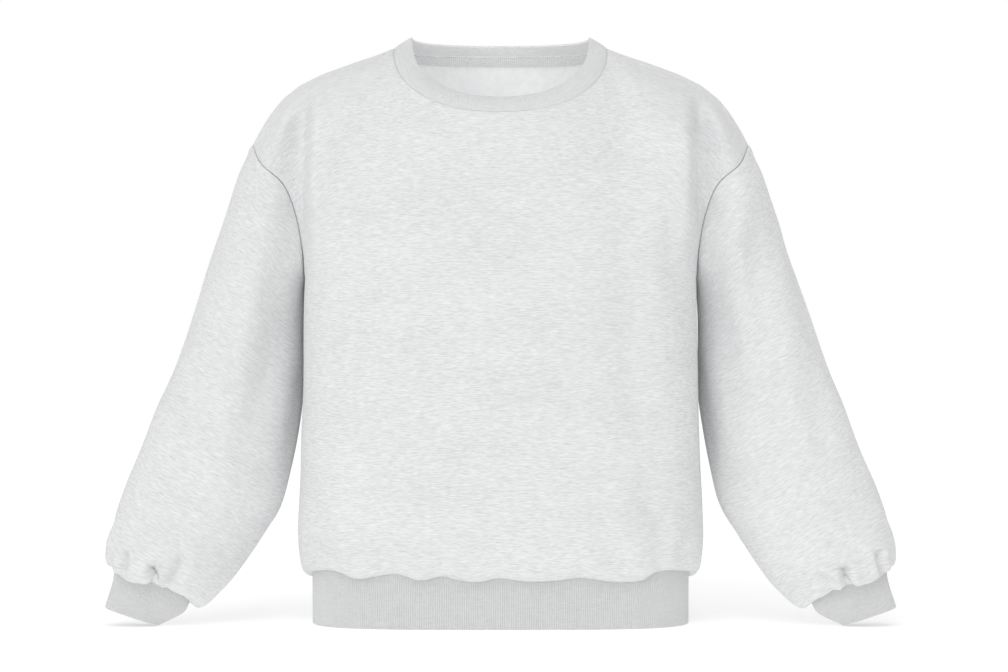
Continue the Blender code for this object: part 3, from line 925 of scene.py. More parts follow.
@dataclass(frozen=True)
class Sleeve:
    """A sleeve, blouson above its cuff. Sizes are for the left; the right is its mirror image."""

    hand: Hand
    creases: tuple[Crease, ...]
    blouse: Blouse
    sections: tuple[Section, ...] = (
        Section(0.3035, 0.5300, 0.2302, 0.3880, 0.084, 0.080, -0.008, 2.0, 0.80),
        Section(0.3180, 0.4915, 0.2312, 0.3720, 0.084, 0.080, -0.016, 2.0, 0.74),
        Section(0.3345, 0.4455, 0.2320, 0.3530, 0.080, 0.077, -0.022, 2.0, 0.72),
        Section(0.3508, 0.3985, 0.2325, 0.3260, 0.075, 0.074, -0.024, 2.0, 0.72),
        Section(0.3830, 0.3051, 0.2340, 0.2490, 0.068, 0.068, -0.014, 2.0, 0.72),
        Section(0.4160, 0.2122, 0.2515, 0.1490, 0.063, 0.062, 0.012, 2.1, 0.80),
        Section(0.4330, 0.1661, 0.2755, 0.1030, 0.061, 0.060, 0.028, 2.1, 0.90),
        Section(0.4468, 0.1202, 0.3050, 0.0570, 0.058, 0.057, 0.042, 2.1),
        Section(0.4535, 0.0890, 0.3270, 0.0320, 0.053, 0.051, 0.052, 2.1),
        Section(0.4515, 0.0720, 0.3440, 0.0190, 0.042, 0.039, 0.056, 2.2),
        Section(0.4440, 0.0640, 0.3572, 0.0230, 0.026, 0.024, 0.057, 2.3),
    )
    torso: Torso = Torso()
    cut: tuple[float, float, float] = (0.470, 0.520, 0.190)  # width, length and area
    rows: int = 132
    clear: float = 0.0007  # how far out it sits from the side seams
    seam: Seam = Seam()
    seam_keep: float = 0.012
    cuff_keep: float = 0.005  # and near the cuff, where they run into its seam

    def form(self, plain: bool = False) -> Array:
        """Build the smooth outer face, from the cuff seam up and round from the underarm line.

        Args:
            plain: Whether to leave out the cuff seam's climb and the valleys.

        Returns:
            The smooth face.
        """
        steps = np.linspace(0, 1, self.torso.armhole_rows + 1)
        front = self.torso.armhole(Side.FRONT, Hand.LEFT)[::-1]
        back = self.torso.armhole(Side.BACK, Hand.LEFT)[::-1]
        rings = [np.vstack([front[::-1], back[1:]])]
        for section in self.sections:
            front, back = (section.half(side, steps) for side in (Side.FRONT, Side.BACK))
            rings.append(np.vstack([front[::-1], back[1:]]))
        for number, share in enumerate(() if plain else CUFF_RISE.shares):
            rings[-1 - number] = CUFF_RISE.lift(rings[-1 - number], self.hand, share)
        centres = np.array([ring.mean(axis=0) for ring in rings])
        lengths = np.r_[0.0, np.cumsum(np.linalg.norm(np.diff(centres, axis=0), axis=1))]
        numbers = np.arange(len(rings))
        even = np.linspace(0, 1, self.rows + 1)
        wanted = 0.5 * np.interp(even * lengths[-1], lengths, numbers) + 0.5 * even * numbers[-1]
        grid = through_grids(rings, wanted / numbers[-1])[::-1]
        grid = grid if plain else self.torso.valleys.press(grid)
        return grid if self.hand is Hand.LEFT else grid[:, ::-1] * (-1, 1, 1)

    def shape(self) -> Array:
        """Build the outer face with its creases, its overhang and its seams."""
        grid = self.form()
        _, up = flat_sizes(grid)
        to_top = up[-1:] - up
        keep = ease(to_top / self.seam_keep) * ease(up / self.cuff_keep + 0.25)
        grid = press_creases(grid, True, self.creases, keep)
        grid = self.torso.softness.press(grid, True, keep)
        columns = grid.shape[1]
        round_share = np.linspace(0, 1, columns)
        if self.hand is Hand.RIGHT:
            round_share = round_share[::-1]
        place = np.broadcast_to(round_share, grid.shape[:2])
        down = unit(grid[0].mean(axis=0) - grid[6].mean(axis=0))
        grid = self.blouse.hang(grid, True, place, up, down)
        grid -= normals_of(grid, True) * self.seam.bite(to_top)[..., None]
        return draw_in(grid, True, (0, -1), self.torso.seam_gap / 2)

    def build(self, cloth: Cloth, shift: Array) -> None:
        """Make the sleeve from cloth, at shift from the sizes' own origin."""
        node = f"sleeve_{self.hand.name.lower()}"
        grid = self.shape() + shift + np.array((self.hand.value * self.clear, 0, 0))
        grid, flat = INTO_RIB.carry(grid, flat_sizes(self.form(plain=True)), Edge.BOTTOM, True)
        piece = sheet_object(f"soft_{node}", *UNDER.carry(grid, flat, Edge.TOP, True), cloth)
        width, length, area = self.cut
        declare(piece, node, (width, length), area, Held.HUNG)


# ================================================================ rib
@dataclass(frozen=True)
class Rib:
    """Doubled 1x1 rib: each rib stands up between two furrows, and the band is folded at its free edge."""

    pitch: float = 0.0025
    relief: float = 0.0010
    profile: tuple[float, ...] = (0.0, 0.85, 1.0, 0.85)  # of one rib, furrow to furrow
    fold_steps: int = 6
    dip: float = 0.0004
    dip_width: float = 0.0030

    def count(self, length: float) -> int:
        """Say how many whole ribs fit round a band."""
        return round(length / self.pitch)

    def columns(self, length: float) -> int:
        """Say how many columns the mesh of a band has."""
        return self.count(length) * len(self.profile)

    def section(self, outer: Array, thickness: float, seam_thickness: float) -> tuple[Array, Array]:
        """Close a band's outer face round its folded edge and back up its inner face.

        Args:
            outer: The outer face, with its seam row last.
            thickness: Of the doubled band.
            seam_thickness: Where it is sewn.

        Returns:
            A grid that closes both ways, and for each point its distance from the seam.
        """
        normals = normals_of(outer, True)
        steps = np.linalg.norm(np.diff(outer[::-1], axis=0, prepend=outer[-1:]), axis=2)
        to_seam = np.cumsum(steps, axis=0)[::-1]
        narrowing = np.exp(-((to_seam / 0.006) ** 2))[..., None]
        thick = thickness + (seam_thickness - thickness) * narrowing
        inner = outer - normals * thick
        furrow = np.tile(self.profile, outer.shape[1] // len(self.profile))
        furrow = np.r_[furrow, furrow[0]] - 1.0
        fading = 1 - 0.75 * np.exp(-((to_seam / self.dip_width) ** 2))
        relief = (self.relief * furrow * fading)[..., None]
        dip = (self.dip * np.exp(-((to_seam / self.dip_width) ** 2)))[..., None]
        face = outer + normals * (relief - dip)
        lining = inner - normals * (relief - dip * 0.5)
        away = unit(outer[0] - outer[1])
        middle = (outer[0] + inner[0]) / 2
        turns = []
        for angle in np.linspace(0, math.pi, self.fold_steps + 2)[1:-1]:
            spoke = normals[0] * math.cos(angle) + away * math.sin(angle)
            turns.append(middle + spoke * (thickness / 2 + relief[0]))
        grid = np.vstack([lining[::-1], np.array(turns)[::-1], face, lining[-1:]])
        fold = np.repeat(to_seam[:1], len(turns), axis=0)
        distance = np.vstack([to_seam[::-1], fold, to_seam, to_seam[-1:]])
        return grid, distance

    def band(
        self, name: str, outer: Array, thickness: float, seam_thickness: float, cloth: Cloth
    ) -> bpy.types.Object:
        """Make a doubled band from its outer face.

        Args:
            name: The piece's name.
            outer: Its outer face, from its folded edge up to its seam row.
            thickness: Of the doubled band.
            seam_thickness: Where it is sewn.
            cloth: What it is knitted from.

        Returns:
            The dressed band.
        """
        grid, distance = self.section(outer, thickness, seam_thickness)
        right, _ = flat_sizes(outer)
        turn = np.broadcast_to(np.linspace(0, np.ptp(right[0]), outer.shape[1]), distance.shape)
        piece = grid_object(name, grid, (turn, distance))
        dress(piece, cloth)
        return piece


@dataclass(frozen=True)
class HemBand:
    """The rib band that the garment stands on."""

    torso: Torso = Torso()
    rib: Rib = Rib()
    bottom: Ring = Ring(0.0, 0.2192, 0.1125, 0.1065, 3.5, 2.8)
    straight: float = 0.0300
    thickness: float = 0.0030
    seam_thickness: float = 0.0022
    girth: float = 1.14
    rows: int = 13

    def outer(self) -> Array:
        """Build the outer face, from the folded edge up to the seam."""
        half = self.rib.columns(self.girth) // 2
        shares = np.linspace(0, 1, half + 1)
        rings = []
        for ring in (replace(self.bottom, z=self.thickness / 2), replace(self.bottom, z=self.straight)):
            rings.append(np.vstack([ring.half(Side.FRONT, shares), ring.half(Side.BACK, shares)[1:]]))
        front, back = (self.torso.hem_seam(side, shares) for side in (Side.FRONT, Side.BACK))
        rings.append(np.vstack([front, back[1:]]))
        grid = through_grids(rings, np.linspace(0, 1, self.rows))
        return draw_in(grid, True, (-1,), self.torso.seam_gap / 2)

    def build(self, cloth: Cloth, shift: Array) -> None:
        """Make the band from cloth, at shift from the sizes' own origin."""
        outer = self.outer() + shift
        piece = self.rib.band("soft_hem_band", outer, self.thickness, self.seam_thickness, cloth)
        declare(piece, "hem_band", *laid_flat(outer), Held.STRETCHED)


@dataclass(frozen=True)
class Cuff:
    """A rib cuff. Sizes are for the left; the right is its mirror image."""

    hand: Hand
    torso: Torso = Torso()
    rib: Rib = Rib(pitch=0.0024, relief=0.0006)
    sections: tuple[Section, ...] = (
        Section(0.4440, 0.0640, 0.3572, 0.0230, 0.026, 0.024, 0.057, 2.3),
        Section(0.4455, 0.0500, 0.3660, 0.0120, 0.025, 0.023, 0.058, 2.6),
        Section(0.4545, 0.0214, 0.3925, 0.0003, 0.020, 0.018, 0.060, 2.9),
    )
    thickness: float = 0.0030
    seam_thickness: float = 0.0022
    girth: float = 0.225
    rows: int = 15
    clear: float = 0.0007

    def outer(self) -> Array:
        """Build the outer face, from the folded edge up to the seam."""
        half = self.rib.columns(self.girth) // 2
        steps = np.linspace(0, 1, half + 1)
        rings = []
        for section in self.sections[::-1]:
            front, back = (section.half(side, steps) for side in (Side.FRONT, Side.BACK))
            rings.append(np.vstack([front[::-1], back[1:]]))
        rings[-1] = CUFF_RISE.lift(rings[-1], self.hand, 1.0)
        rings[-2] = CUFF_RISE.lift(rings[-2], self.hand, 0.45)
        grid = through_grids(rings, np.linspace(0, 1, self.rows))
        grid = draw_in(grid, True, (-1,), self.torso.seam_gap / 2)
        grid = draw_in(grid, True, (0,), self.thickness / 2)
        return grid if self.hand is Hand.LEFT else grid[:, ::-1] * (-1, 1, 1)

    def build(self, cloth: Cloth, shift: Array) -> None:
        """Make the cuff from cloth, at shift from the sizes' own origin."""
        node = f"cuff_{self.hand.name.lower()}"
        outer = self.outer() + shift + np.array((self.hand.value * self.clear, 0, 0))
        piece = self.rib.band(f"soft_{node}", outer, self.thickness, self.seam_thickness, cloth)
        declare(piece, node, *laid_flat(outer), Held.STRETCHED)


@dataclass(frozen=True)
class Collar:
    """The neck band, and the tape that covers its seam inside the back neck."""

    torso: Torso = Torso()
    rib: Rib = Rib(pitch=0.0024, relief=0.0007)
    middle: NeckRing = NeckRing(0.1155, 0.6775, 0.0985, 0.0775, 0.0830, 0.0010)
    top: NeckRing = NeckRing(0.1040, 0.6840, 0.0890, 0.0770, 0.0760, 0.0015)
    thickness: float = 0.0030
    seam_thickness: float = 0.0022
    girth: float = 0.72
    rows: int = 11
    tape_top: float = -0.0020  # both are distances below the neck seam
    tape_bottom: float = 0.0105
    tape_gap: float = 0.0006

    def outer(self) -> Array:
        """Build the outer face, from the folded edge down to the seam."""
        half = self.rib.columns(self.girth) // 2
        shares = np.linspace(0, 1, half + 1)
        rings = []
        for ring in (self.torso.neck_seam, self.middle, self.top):
            rings.append(np.vstack([ring.half(Side.FRONT, shares), ring.half(Side.BACK, shares)[1:]]))
        grid = through_grids(rings, np.linspace(0, 1, self.rows))
        grid = draw_in(grid, True, (0,), self.torso.seam_gap / 2)
        return draw_in(grid, True, (-1,), self.thickness / 2)[::-1, ::-1]

    def tape(self, back: Array, fleece: Cloth, tape: Cloth) -> None:
        """Make the tape from the back panel's own points, moved in.

        Args:
            back: The back panel's outer face.
            fleece: What the panel is cut from.
            tape: What the tape is cut from.
        """
        first = self.torso.shoulder_columns
        columns = slice(first, first + 2 * self.torso.neck_columns + 1)
        inner = (back - normals_of(back, False) * (fleece.thickness + self.tape_gap))[:, columns]
        top, below = inner[-1], inner[-4]
        down = unit(below - top)
        depths = np.linspace(self.tape_bottom, self.tape_top, 7)
        grid = np.array([top + down * depth for depth in depths])
        piece = sheet_object("soft_neck_tape", grid, flat_sizes(grid), tape)
        declare(piece, "neck_tape", *laid_flat(grid), Held.STRETCHED)

    def build(self, cloth: Cloth, shift: Array) -> None:
        """Make the collar from cloth, at shift from the sizes' own origin."""
        outer = self.outer() + shift
        piece = self.rib.band("soft_neck_band", outer, self.thickness, self.seam_thickness, cloth)
        declare(piece, "neck_band", *laid_flat(outer), Held.STRETCHED)


# ================================================================ finishes
@dataclass(frozen=True)
class Number:
    """A shader socket that takes part in Python sums."""

    shader: "Shader"
    socket: bpy.types.NodeSocket

    def __add__(self, other: "Number | float") -> "Number":
        """Add."""
        return self.shader.math("ADD", self, other)

    def __sub__(self, other: "Number | float") -> "Number":
        """Subtract."""
        return self.shader.math("SUBTRACT", self, other)

    def __rsub__(self, other: float) -> "Number":
        """Subtract from a plain number."""
        return self.shader.math("SUBTRACT", other, self)

    def __mul__(self, other: "Number | float") -> "Number":
        """Multiply."""
        return self.shader.math("MULTIPLY", self, other)

    def __abs__(self) -> "Number":
        """Drop the sign."""
        return self.shader.math("ABSOLUTE", self)

    __radd__ = __add__
    __rmul__ = __mul__


CLOTH_SHINE = 0.15
SHEEN_ROUGHNESS = 0.45


class Shader:
    """The node tree of one material."""

    def __init__(self, name: str) -> None:
        """Start a material with that name."""
        self.material = bpy.data.materials.new(name)
        self.material.use_nodes = True
        self.tree = self.material.node_tree
        self.surface = self.tree.nodes["Principled BSDF"]

    def put(self, socket: bpy.types.NodeSocket, value: Any) -> None:
        """Set a socket, or link one to it."""
        if isinstance(value, Number):
            value = value.socket
        if isinstance(value, bpy.types.NodeSocket):
            self.tree.links.new(value, socket)
        else:
            socket.default_value = value

    def node(
        self, kind: str, settings: dict[str, Any] | None = None, inputs: dict[Any, Any] | None = None
    ) -> Any:
        """Add a node.

        Args:
            kind: Its type.
            settings: What is set on it first.
            inputs: Values or links for its sockets, by name or number.

        Returns:
            The node.
        """
        made = self.tree.nodes.new(kind)
        for name, value in (settings or {}).items():
            setattr(made, name, value)
        for name, value in (inputs or {}).items():
            self.put(made.inputs[name], value)
        return made

    def math(self, operation: str, *values: Number | float) -> Number:
        """Work out a Math node."""
        made = self.node("ShaderNodeMath", {"operation": operation}, dict(enumerate(values)))
        return Number(self, made.outputs[0])

    def flat(self) -> tuple[Number, Number]:
        """Read the cloth's own metres, across and along."""
        uv = self.node("ShaderNodeUVMap", {"uv_map": FLAT})
        split = self.node("ShaderNodeSeparateXYZ", None, {0: uv.outputs[0]})
        return Number(self, split.outputs[0]), Number(self, split.outputs[1])

    def noise(self, x: Number, y: Number, seed: float, detail: float = 2.0, roughness: float = 0.5) -> Number:
        """Read a noise of about -0.5 to 0.5 at x and y."""
        place = self.node("ShaderNodeCombineXYZ", None, {0: x, 1: y, 2: seed})
        inputs = {"Vector": place.outputs[0], "Scale": 1.0, "Detail": detail, "Roughness": roughness}
        return Number(self, self.node("ShaderNodeTexNoise", None, inputs).outputs[0]) - 0.5

    def above(self, value: Number, low: float, high: float) -> Number:
        """Rise smoothly from 0 where value is low to 1 where it is high."""
        settings = {"interpolation_type": "SMOOTHSTEP"}
        inputs = {0: value, 1: low, 2: high}
        return Number(self, self.node("ShaderNodeMapRange", settings, inputs).outputs[0])

    def blend(self, share: Number, first: Any, second: Any) -> bpy.types.NodeSocket:
        """Mix two colours, each a colour or a socket."""
        return self.node("ShaderNodeMix", {"data_type": "RGBA"}, {0: share, 6: first, 7: second}).outputs[2]

    def finish(
        self, colour: Any, height: Number, depth: float, sheen: float, roughness: float
    ) -> bpy.types.Material:
        """Dress the surface.

        Args:
            colour: Its base colour or the socket that gives it.
            height: Its fine relief, about 0 to 1.
            depth: How deep that relief is, in metres.
            sheen: The weight of its sheen.
            roughness: How rough it is.

        Returns:
            The material.
        """
        bump = self.node("ShaderNodeBump", None, {"Strength": 1.0, "Distance": depth, "Height": height})
        self.put(self.surface.inputs["Base Color"], colour)
        self.put(self.surface.inputs["Normal"], bump.outputs[0])
        self.put(self.surface.inputs["Roughness"], roughness)
        self.put(self.surface.inputs["Specular IOR Level"], CLOTH_SHINE)
        self.put(self.surface.inputs["Sheen Weight"], sheen)
        self.put(self.surface.inputs["Sheen Roughness"], SHEEN_ROUGHNESS)
        return self.material


Colour = tuple[float, float, float, float]


def grey(level: float, cool: float = 0.004) -> Colour:
    """Make a grey of that level, a touch cool."""
    return (level - cool, level, level + cool, 1.0)


@dataclass(frozen=True)
class Heather:
    """The streaks that fibres dyed before spinning leave along the courses of a knit."""

    light: Colour
    dark: Colour
    streak_length: float = 0.017
    streak_height: float = 0.0015
    strength: float = 1.0
    middle: float = 0.46  # the share of dark between streaks
    long_weight: float = 0.85
    short_weight: float = 1.55
    cloud_weight: float = 0.35
    fleck_weight: float = 0.40

    def colour(self, shader: Shader, across: Number, along: Number) -> bpy.types.NodeSocket:
        """Mix the cloth's colour.

        Args:
            shader: The material it goes into.
            across: Metres along the courses.
            along: Metres across them.

        Returns:
            The colour's socket.
        """
        wander = shader.noise(across * 20.0, along * 30.0, 1.3) * 0.0003
        level = along + wander
        wide, high = 1 / self.streak_length, 1 / self.streak_height
        narrow, low = 2.4 / self.streak_length, 1.7 / self.streak_height
        long = shader.noise(across * wide, level * high, 4.1, 1.0, 0.5)
        short = shader.noise(across * narrow, level * low, 9.7, 1.0, 0.5)
        cloud = shader.noise(across * 9.0, along * 22.0, 6.6, 2.0)
        fleck = shader.above(shader.noise(across * 95.0, level * 900.0, 2.9, 1.0), 0.17, 0.30)
        streaks = self.long_weight * long + self.short_weight * short + self.cloud_weight * cloud
        tone = self.middle + streaks * self.strength + fleck * (self.fleck_weight * self.strength)
        share = shader.math("MINIMUM", shader.math("MAXIMUM", tone, 0.0), 1.0)
        return shader.blend(share, self.light, self.dark)


@dataclass(frozen=True)
class KnitFace:
    """The right side of the fleece: fine columns of stitches, a little fuzzy."""

    heather: Heather = Heather(grey(0.905), grey(0.665))
    wale: float = 0.0011
    course: float = 0.0009

    def material(self) -> bpy.types.Material:
        """Make the material."""
        shader = Shader("heather_fleece")
        across, along = shader.flat()
        wale = abs(shader.math("FRACT", across * (1 / self.wale)) - 0.5)
        stitch = abs(shader.math("FRACT", along * (1 / self.course) + wale * 1.4) - 0.5)
        fuzz = shader.noise(across * 900.0, along * 700.0, 5.5, 3.0)
        height = stitch * 0.7 + (0.5 - wale) * 0.5 + fuzz * 0.9
        return shader.finish(self.heather.colour(shader, across, along), height, 0.00016, 0.22, 0.92)


@dataclass(frozen=True)
class BrushedBack:
    """The inside of the fleece: paler, brushed and without streaks."""

    light: Colour = grey(0.88)
    dark: Colour = grey(0.80)

    def material(self) -> bpy.types.Material:
        """Make the material."""
        shader = Shader("brushed_fleece")
        across, along = shader.flat()
        nap = shader.noise(across * 120.0, along * 90.0, 3.1, 4.0, 0.6)
        cloud = shader.noise(across * 14.0, along * 10.0, 8.2, 2.0)
        share = shader.above(nap + cloud, -0.35, 0.35)
        return shader.finish(shader.blend(share, self.light, self.dark), nap, 0.0005, 0.35, 0.95)


@dataclass(frozen=True)
class RibKnit:
    """The rib of the collar, cuffs and hem band, greyer than the fleece."""

    heather: Heather = Heather(grey(0.785), grey(0.585), 0.018, 0.0024, 0.35)
    name: str = "heather_rib"
    course: float = 0.0010

    def material(self) -> bpy.types.Material:
        """Make the material."""
        shader = Shader(self.name)
        across, along = shader.flat()
        course = abs(shader.math("FRACT", along * (1 / self.course)) - 0.5)
        fuzz = shader.noise(across * 800.0, along * 600.0, 7.4, 3.0)
        colour = self.heather.colour(shader, across, along)
        return shader.finish(colour, course * 0.8 + fuzz * 0.8, 0.00016, 0.18, 0.92)


@dataclass(frozen=True)
class TapeWeave:
    """The tape inside the back neck."""

    light: Colour = grey(0.72)
    dark: Colour = grey(0.56)

    def material(self) -> bpy.types.Material:
        """Make the material."""
        shader = Shader("neck_tape")
        across, along = shader.flat()
        rib = abs(shader.math("FRACT", across * 420.0) - 0.5)
        fuzz = shader.noise(across * 260.0, along * 500.0, 2.2, 3.0)
        share = shader.above(rib + fuzz, -0.1, 0.75)
        return shader.finish(shader.blend(share, self.light, self.dark), rib, 0.0003, 0.15, 0.9)


# ================================================================ studio
@dataclass(frozen=True)
class Studio:
    """A plain pale floor under soft light, and a camera level with the middle of the garment."""

    reach: float = 3.1
    height: float = 0.333
    aside: float = 0.0040
    lens: float = 94.4
    sky: float = 0.50
    floor_level: float = 0.60
    floor_glow: float = 0.56
    # For each sun, its name, where it stands, its strength and its spread in degrees.
    suns: tuple[tuple[str, tuple[float, float, float], float, float], ...] = (
        ("key", (-0.85, -2.35, 1.75), 0.66, 50.0),
        ("top", (-0.20, -1.00, 2.80), 0.70, 60.0),
    )
    neck_lamp: tuple[float, float, float] = (0.15, 0.05, 0.145)  # width, height and watts
    neck_lamp_place: tuple[float, float, float] = (0.0, -0.045, 0.585)
    neck_lamp_aim: tuple[float, float, float] = (0.0, 0.13, 0.06)

    def floor(self) -> None:
        """Lay the floor."""
        select_nothing()
        bpy.ops.mesh.primitive_plane_add(size=60.0, location=(0, 0, 0))
        floor = bpy.context.object
        floor.name = "floor"
        shader = Shader("pale_floor")
        shader.put(shader.surface.inputs["Base Color"], grey(self.floor_level, 0.0))
        shader.put(shader.surface.inputs["Roughness"], 0.9)
        shader.put(shader.surface.inputs["Specular IOR Level"], 0.0)
        shader.put(shader.surface.inputs["Emission Color"], (1.0, 1.0, 1.0, 1.0))
        shader.put(shader.surface.inputs["Emission Strength"], self.floor_glow)
        floor.data.materials.append(shader.material)

    def light(self) -> None:
        """Light it softly from all round and from the upper left."""
        world = bpy.data.worlds.new("studio")
        bpy.context.scene.world = world
        world.use_nodes = True
        tree = world.node_tree
        tree.nodes["Background"].inputs["Strength"].default_value = self.sky
        shown = tree.nodes.new("ShaderNodeBackground")
        rays = tree.nodes.new("ShaderNodeLightPath")
        mix = tree.nodes.new("ShaderNodeMixShader")
        tree.nodes["Background"].inputs["Color"].default_value = (1, 1, 1, 1)
        shown.inputs["Color"].default_value = (1, 1, 1, 1)
        tree.links.new(rays.outputs["Is Camera Ray"], mix.inputs[0])
        tree.links.new(tree.nodes["Background"].outputs[0], mix.inputs[1])
        tree.links.new(shown.outputs[0], mix.inputs[2])
        tree.links.new(mix.outputs[0], tree.nodes["World Output"].inputs[0])
        for name, place, strength, spread in self.suns:
            lamp = bpy.data.lights.new(name, "SUN")
            lamp.energy, lamp.angle = strength, math.radians(spread)
            holder = bpy.data.objects.new(name, lamp)
            bpy.context.collection.objects.link(holder)
            holder.rotation_euler = (-Vector(place)).to_track_quat("-Z", "Y").to_euler()
        lamp = bpy.data.lights.new("neck", "AREA")
        lamp.shape, lamp.size, lamp.size_y, lamp.energy = "RECTANGLE", *self.neck_lamp
        holder = bpy.data.objects.new("neck", lamp)
        bpy.context.collection.objects.link(holder)
        holder.location = self.neck_lamp_place
        holder.rotation_euler = Vector(self.neck_lamp_aim).to_track_quat("-Z", "Y").to_euler()
        holder.visible_camera = False

    def camera(self) -> None:
        """Set up the camera."""
        data = bpy.data.cameras.new("camera")
        data.lens, data.sensor_width = self.lens, 36.0
        camera = bpy.data.objects.new("camera", data)
        bpy.context.collection.objects.link(camera)
        camera.location = (self.aside, -self.reach, self.height)
        camera.rotation_euler = (math.pi / 2, 0, 0)
        bpy.context.scene.camera = camera

    def build(self) -> None:
        """Set the whole studio up."""
        bpy.context.scene.view_settings.view_transform = "Standard"
        self.floor()
        self.light()
        self.camera()


# ================================================================ creases and gathers of each sleeve
LEFT_SLEEVE = Sleeve(
    Hand.LEFT,
    (
        Crease(Facing.FRONT, ((0.289, 0.520), (0.296, 0.420), (0.303, 0.300), (0.322, 0.150)), 0.017, 0.0062),
        Crease(Facing.FRONT, ((0.252, 0.420), (0.262, 0.330), (0.285, 0.210)), 0.014, 0.0034),
        Crease(Facing.FRONT, ((0.345, 0.330), (0.362, 0.250), (0.386, 0.160)), 0.016, 0.0026),
        Crease(Facing.FRONT, ((0.364, 0.106), (0.380, 0.096), (0.398, 0.094), (0.416, 0.098)), 0.009, 0.0046),
        Crease(Facing.FRONT, ((0.3870, 0.0740), (0.3905, 0.0600), (0.3950, 0.0450)), 0.0048, 0.0110, 0.15),
        Crease(Facing.FRONT, ((0.4295, 0.0900), (0.4305, 0.0780), (0.4320, 0.0620)), 0.0042, 0.0080, 0.15),
        Crease(Facing.FRONT, ((0.3540, 0.0640), (0.3680, 0.0565), (0.3800, 0.0480)), 0.0060, 0.0060),
        Crease(Facing.BACK, ((0.300, 0.440), (0.318, 0.300), (0.350, 0.150)), 0.018, 0.0056),
        Crease(Facing.BACK, ((0.260, 0.380), (0.275, 0.290), (0.300, 0.190)), 0.015, 0.0038),
        Crease(Facing.BACK, ((0.372, 0.110), (0.388, 0.092), (0.394, 0.068)), 0.008, 0.0050),
        Crease(Facing.BACK, ((0.412, 0.108), (0.420, 0.086), (0.418, 0.070)), 0.007, 0.0046),
        Crease(Facing.LEFT, ((0.010, 0.470), (-0.006, 0.360), (-0.010, 0.250)), 0.020, 0.0040),
        Crease(Facing.LEFT, ((-0.044, 0.130), (-0.036, 0.100), (-0.040, 0.076)), 0.009, 0.0046),
        Crease(Facing.RIGHT, ((0.020, 0.330), (0.002, 0.240), (-0.020, 0.150)), 0.014, 0.0040),
    ),
    Blouse((
        (0.000, 0.0008), (0.060, 0.0015), (0.120, 0.0030), (0.165, 0.0013), (0.200, 0.0032), (0.235, 0.0008),
        (0.280, 0.0038), (0.340, 0.0042), (0.395, 0.0029), (0.430, 0.0004), (0.470, 0.0015), (0.520, 0.0011),
        (0.580, 0.0029), (0.640, 0.0009), (0.700, 0.0032), (0.760, 0.0023), (0.820, 0.0008), (0.880, 0.0027),
        (0.940, 0.0013), (1.000, 0.0008),
    )),
)
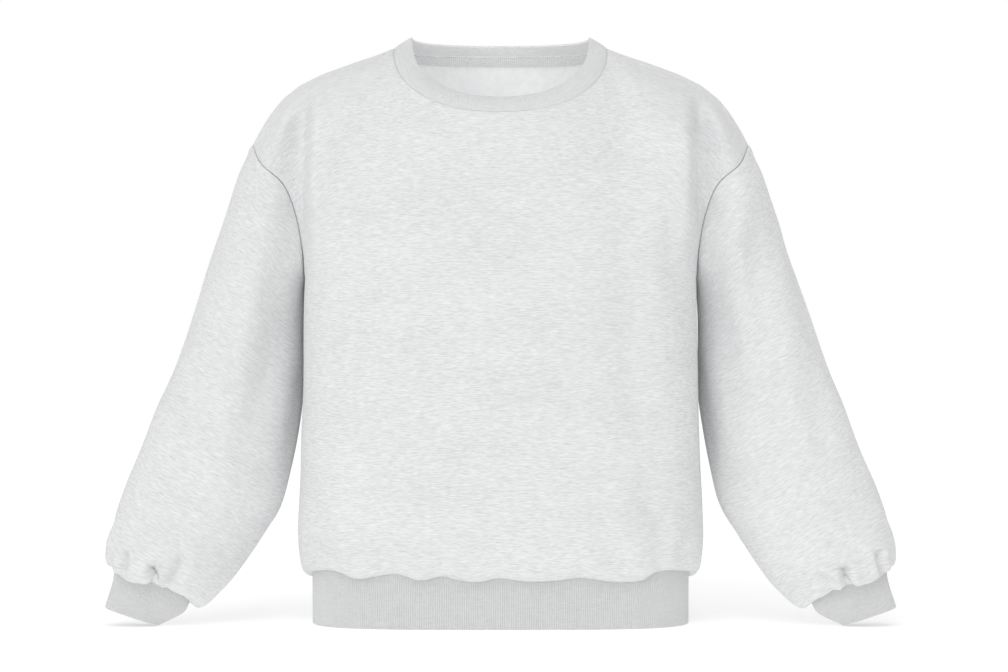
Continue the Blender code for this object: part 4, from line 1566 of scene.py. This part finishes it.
RIGHT_SLEEVE = Sleeve(
    Hand.RIGHT,
    (
        Crease(Facing.FRONT, ((-0.288, 0.540), (-0.285, 0.500), (-0.279, 0.450)), 0.014, 0.0040),
        Crease(Facing.FRONT, ((-0.340, 0.280), (-0.355, 0.200), (-0.368, 0.130)), 0.018, 0.0050),
        Crease(Facing.FRONT, ((-0.258, 0.430), (-0.264, 0.330), (-0.290, 0.200)), 0.015, 0.0036),
        Crease(
            Facing.FRONT,
            ((-0.430, 0.096), (-0.414, 0.105), (-0.394, 0.108), (-0.372, 0.099)),
            0.009, 0.0052,
        ),
        Crease(Facing.FRONT, ((-0.3960, 0.0760), (-0.3925, 0.0640), (-0.3890, 0.0460)), 0.0048, 0.0120, 0.15),
        Crease(Facing.FRONT, ((-0.4268, 0.0900), (-0.4262, 0.0790), (-0.4252, 0.0600)), 0.0042, 0.0085, 0.15),
        Crease(
            Facing.FRONT,
            ((-0.372, 0.086), (-0.3620, 0.0770), (-0.3660, 0.0660), (-0.378, 0.052)),
            0.0062, 0.0068,
        ),
        Crease(Facing.BACK, ((-0.302, 0.460), (-0.322, 0.330), (-0.342, 0.190)), 0.018, 0.0058),
        Crease(Facing.BACK, ((-0.256, 0.400), (-0.270, 0.300), (-0.292, 0.200)), 0.015, 0.0036),
        Crease(Facing.BACK, ((-0.380, 0.112), (-0.392, 0.092), (-0.388, 0.070)), 0.008, 0.0050),
        Crease(Facing.BACK, ((-0.416, 0.106), (-0.424, 0.088), (-0.420, 0.072)), 0.007, 0.0042),
        Crease(Facing.RIGHT, ((-0.012, 0.460), (0.004, 0.350), (-0.008, 0.240)), 0.020, 0.0040),
        Crease(Facing.RIGHT, ((-0.050, 0.128), (-0.040, 0.100), (-0.046, 0.078)), 0.009, 0.0046),
        Crease(Facing.LEFT, ((0.016, 0.320), (0.000, 0.240), (-0.024, 0.150)), 0.014, 0.0040),
    ),
    Blouse((
        (0.000, 0.0008), (0.060, 0.0013), (0.130, 0.0030), (0.175, 0.0015), (0.205, 0.0034), (0.240, 0.0006),
        (0.285, 0.0038), (0.345, 0.0044), (0.395, 0.0027), (0.430, 0.0004), (0.470, 0.0015), (0.520, 0.0013),
        (0.590, 0.0030), (0.650, 0.0008), (0.700, 0.0030), (0.770, 0.0025), (0.825, 0.0006), (0.880, 0.0027),
        (0.940, 0.0015), (1.000, 0.0008),
    )),
)


# ================================================================ garment
@dataclass(frozen=True)
class Sweatshirt:
    """The whole garment."""

    torso: Torso = Torso()
    sleeves: tuple[Sleeve, ...] = (LEFT_SLEEVE, RIGHT_SLEEVE)
    cuffs: tuple[Cuff, ...] = (Cuff(Hand.LEFT), Cuff(Hand.RIGHT))
    hem_band: HemBand = HemBand()
    collar: Collar = Collar()

    def shift(self) -> Array:
        """Find how far the garment's origin is from that of the sizes."""
        low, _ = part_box("hem_band")
        return np.array((0.0, low[1] + self.hem_band.bottom.front, 0.0))

    def build(self) -> None:
        """Make every piece."""
        right_side, inside = KnitFace().material(), BrushedBack().material()
        fleece = Cloth("fleece", 0.0022, right_side, inside)
        knitted, woven = RibKnit().material(), TapeWeave().material()
        rib = Cloth("rib", 0.0030, knitted, knitted)
        # The collar's rib is a lighter copy of the rib of the cuffs and hem band: painted light on one cloth.
        neck = RibKnit(Heather(grey(0.835), grey(0.635), 0.018, 0.0024, 0.35), "collar_rib_painted_light").material()
        collar = Cloth("rib", 0.0030, neck, neck)
        tape = Cloth("fleece", 0.0012, woven, woven)
        shift = self.shift()
        panels = self.torso.build(fleece, shift)
        for sleeve in self.sleeves:
            sleeve.build(fleece, shift)
        for cuff in self.cuffs:
            cuff.build(rib, shift)
        self.hem_band.build(rib, shift)
        self.collar.build(collar, shift)
        self.collar.tape(panels[Side.BACK], fleece, tape)


def main() -> None:
    """Build the garment and the studio round it."""
    logging.basicConfig(level=logging.INFO, format="%(message)s")
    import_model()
    Sweatshirt().build()
    Studio().build()


if __name__ == "__main__":
    main()
